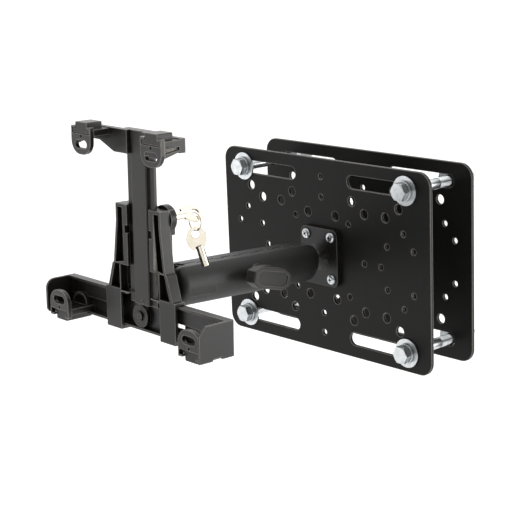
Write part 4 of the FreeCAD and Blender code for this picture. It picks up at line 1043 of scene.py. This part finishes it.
@dataclass
class Holder(SubAssembly):
    """The fixed half of the tablet holder: frame, tray, cover and the ball behind them."""

    coil: Winding = Winding(4.5, 4.7, 9.0, 0.16, 0.0)
    coil_front_mm: float = 1.25
    frame_ease_mm: float = 0.35
    ease_mm: float = 0.4

    def build(self) -> None:
        """Eases the mouldings and dresses the small parts."""
        self.ease_node("holder_frame", self.frame_ease_mm)
        for node in ("lower_tray", "rear_cover", "ball_base_holder"):
            self.ease_node(node, self.ease_mm)
        for node in ("cover_screws", "ball_cover_holder", "ball_base_screws_holder", "socket_ring_holder",
                     "spring_strip", "spring_drum"):
            self.dress_node(node)
        self.dress_node("drum_pin", Finishes.BLACK_OXIDE)
        self.wind("drum_coil", "spring_drum", self.coil, self.coil_front_mm)


@dataclass
class SlideBar(SubAssembly):
    """The bar that slides up with the top bracket on it."""

    bar_ease_mm: float = 0.3
    bracket_ease_mm: float = 0.35

    def build(self) -> None:
        """Eases the bar and the bracket."""
        self.ease_node("slide_bar", self.bar_ease_mm)
        self.ease_node("top_bracket", self.bracket_ease_mm)
        self.dress_node("bracket_screws")
        self.dress_node("strip_rivet", Finishes.BLACK_OXIDE)


@dataclass
class Lips(SubAssembly):
    """The four slotted lips that hold a tablet's edges."""

    ease_mm: float = 0.35

    def build(self) -> None:
        """Eases each lip and dresses its screw."""
        for corner in CORNERS:
            self.ease_node("lip_" + corner, self.ease_mm)
            self.dress_node("lip_screw_" + corner)


@dataclass
class LockAndKeys(SubAssembly):
    """The cylinder lock, the key in it, the ring and the spare key."""

    split_ring: Winding = Winding(1.94, 7.3, 7.3, 0.33, 0.66)
    key_ease_mm: float = 0.2
    barrel_ease_mm: float = 0.25

    def build(self) -> None:
        """Eases the keys and dresses the lock."""
        self.ease_node("key_in_lock", self.key_ease_mm)
        self.ease_node("spare_key", self.key_ease_mm)
        self.ease_node("lock_barrel", self.barrel_ease_mm)
        for node in ("lock_plug", "lock_cam", "lock_pawl"):
            self.dress_node(node)
        self.wind("split_key_ring", "key_ring", self.split_ring, stands_for=True)


@dataclass
class Studio:
    """The pale floor, the soft lights and the camera of the photograph, in metres and degrees."""

    floor_z: float = -0.55
    floor_half: float = 30.0
    camera_at: tuple[float, float, float] = (0.9088, -0.8954, 0.3081)
    azimuth: float = 48.19
    elevation: float = 13.54
    roll: float = -2.23
    focal_px: float = 1470.1
    sensor_mm: float = 36.0
    clip: tuple[float, float] = (0.01, 200.0)
    backdrop_aim: tuple[float, float, float] = (-0.62, 0.62, 0.5)
    room_dark: float = 0.12
    room_bright: float = 1.7
    ceiling_power: float = 1.0
    ceiling_aim: tuple[float, float, float] = (0.45, -0.1, 1.0)
    ceiling_spread: float = 75.0
    right_at: tuple[float, float, float] = (1.75, 1.45, -0.1)
    right_size: float = 1.3
    right_watts: float = 30.0
    left_at: tuple[float, float, float] = (-1.7, -1.6, -0.1)
    left_size: float = 1.2
    left_watts: float = 2.6

    def floor(self) -> None:
        """Lays the plain floor."""
        bm = bmesh.new()
        bmesh.ops.create_grid(bm, x_segments=1, y_segments=1, size=self.floor_half)
        bmesh.ops.translate(bm, verts=bm.verts, vec=(0, 0, self.floor_z))
        obj = to_object(bm, "floor")
        paper = bpy.data.materials.new("matt_white_paper")
        paper.use_nodes = True
        shader = paper.node_tree.nodes["Principled BSDF"]
        shader.inputs["Base Color"].default_value = linear("#fbfbfb")
        shader.inputs["Roughness"].default_value = 0.9
        shader.inputs["Specular IOR Level"].default_value = 0.1
        obj.data.materials.append(paper)

    def light(self, name: str, at: tuple[float, float, float], size: float, watts: float) -> None:
        """Hangs one soft box that faces the mount.

        Args:
            name: Name of the light.
            at: Place in metres.
            size: Side of the square box in metres.
            watts: Power.
        """
        data = bpy.data.lights.new(name, "AREA")
        data.shape = "SQUARE"
        data.size = size
        data.energy = watts
        obj = bpy.data.objects.new(name, data)
        obj.location = at
        obj.rotation_euler = (Vector(at) * -1).to_track_quat("-Z", "Y").to_euler()
        obj.visible_camera = False
        bpy.context.scene.collection.objects.link(obj)

    def overhead(self) -> None:
        """Lights the floor evenly from a wide ceiling, leaning a little to the side box."""
        data = bpy.data.lights.new("ceiling", "SUN")
        data.energy = self.ceiling_power
        data.angle = math.radians(self.ceiling_spread)
        obj = bpy.data.objects.new("ceiling", data)
        obj.rotation_euler = Vector(self.ceiling_aim).to_track_quat("Z", "Y").to_euler()
        bpy.context.scene.collection.objects.link(obj)

    def backdrop(self) -> None:
        """Lights the room from a bright backdrop that falls off towards the camera's side."""
        sky = bpy.data.worlds.new("studio")
        sky.use_nodes = True
        tree = sky.node_tree
        tree.nodes.clear()
        seen = add_node(tree, "ShaderNodeTexCoord").outputs["Generated"]
        near = add_node(tree, "ShaderNodeVectorMath", {0: seen, 1: Vector(self.backdrop_aim).normalized()},
                        operation="DOT_PRODUCT")
        strength = add_node(tree, "ShaderNodeMapRange", {
            "Value": near.outputs["Value"], "From Min": -0.5,
            "From Max": 1.0, "To Min": self.room_dark, "To Max": self.room_bright,
        }, interpolation_type="SMOOTHSTEP")
        glow = add_node(tree, "ShaderNodeBackground", {
            "Color": linear("#ffffff"), "Strength": strength.outputs["Result"],
        })
        add_node(tree, "ShaderNodeOutputWorld", {"Surface": glow.outputs[0]})
        bpy.context.scene.world = sky

    def camera(self) -> None:
        """Sets the camera at the photograph's angle."""
        a, e, r = (math.radians(v) for v in (self.azimuth, self.elevation, self.roll))
        back = Vector((math.sin(a) * math.cos(e), -math.cos(a) * math.cos(e), math.sin(e)))
        level = Vector((math.cos(a), math.sin(a), 0))
        upright = back.cross(level)
        right = level * math.cos(r) + upright * math.sin(r)
        up = upright * math.cos(r) - level * math.sin(r)
        data = bpy.data.cameras.new("camera")
        data.sensor_width = self.sensor_mm
        data.lens = self.focal_px / IMAGE_PX * self.sensor_mm
        data.clip_start, data.clip_end = self.clip
        obj = bpy.data.objects.new("camera", data)
        turn = Matrix((right, up, back)).transposed().to_4x4()
        obj.matrix_world = Matrix.Translation(self.camera_at) @ turn
        bpy.context.scene.collection.objects.link(obj)
        bpy.context.scene.camera = obj

    def build(self) -> None:
        """Builds the floor, the sky, the lights and the camera."""
        self.floor()
        self.backdrop()
        bpy.context.scene.view_settings.view_transform = "Standard"
        self.overhead()
        self.light("right_box", self.right_at, self.right_size, self.right_watts)
        self.light("left_box", self.left_at, self.left_size, self.left_watts)
        self.camera()


def main() -> None:
    """Builds every sub-assembly in order and reports its pieces."""
    logging.basicConfig(level=logging.INFO, format="%(message)s")
    for part in (ClampPlates("clamp plates"), BoltSets("bolt sets"), FrontBall("front ball"), Arm("arm"),
                 Holder("holder"), SlideBar("slide bar"), Lips("lips"), LockAndKeys("lock and keys")):
        part.build()
        part.report()
    Studio().build()


if __name__ == "__main__":
    main()
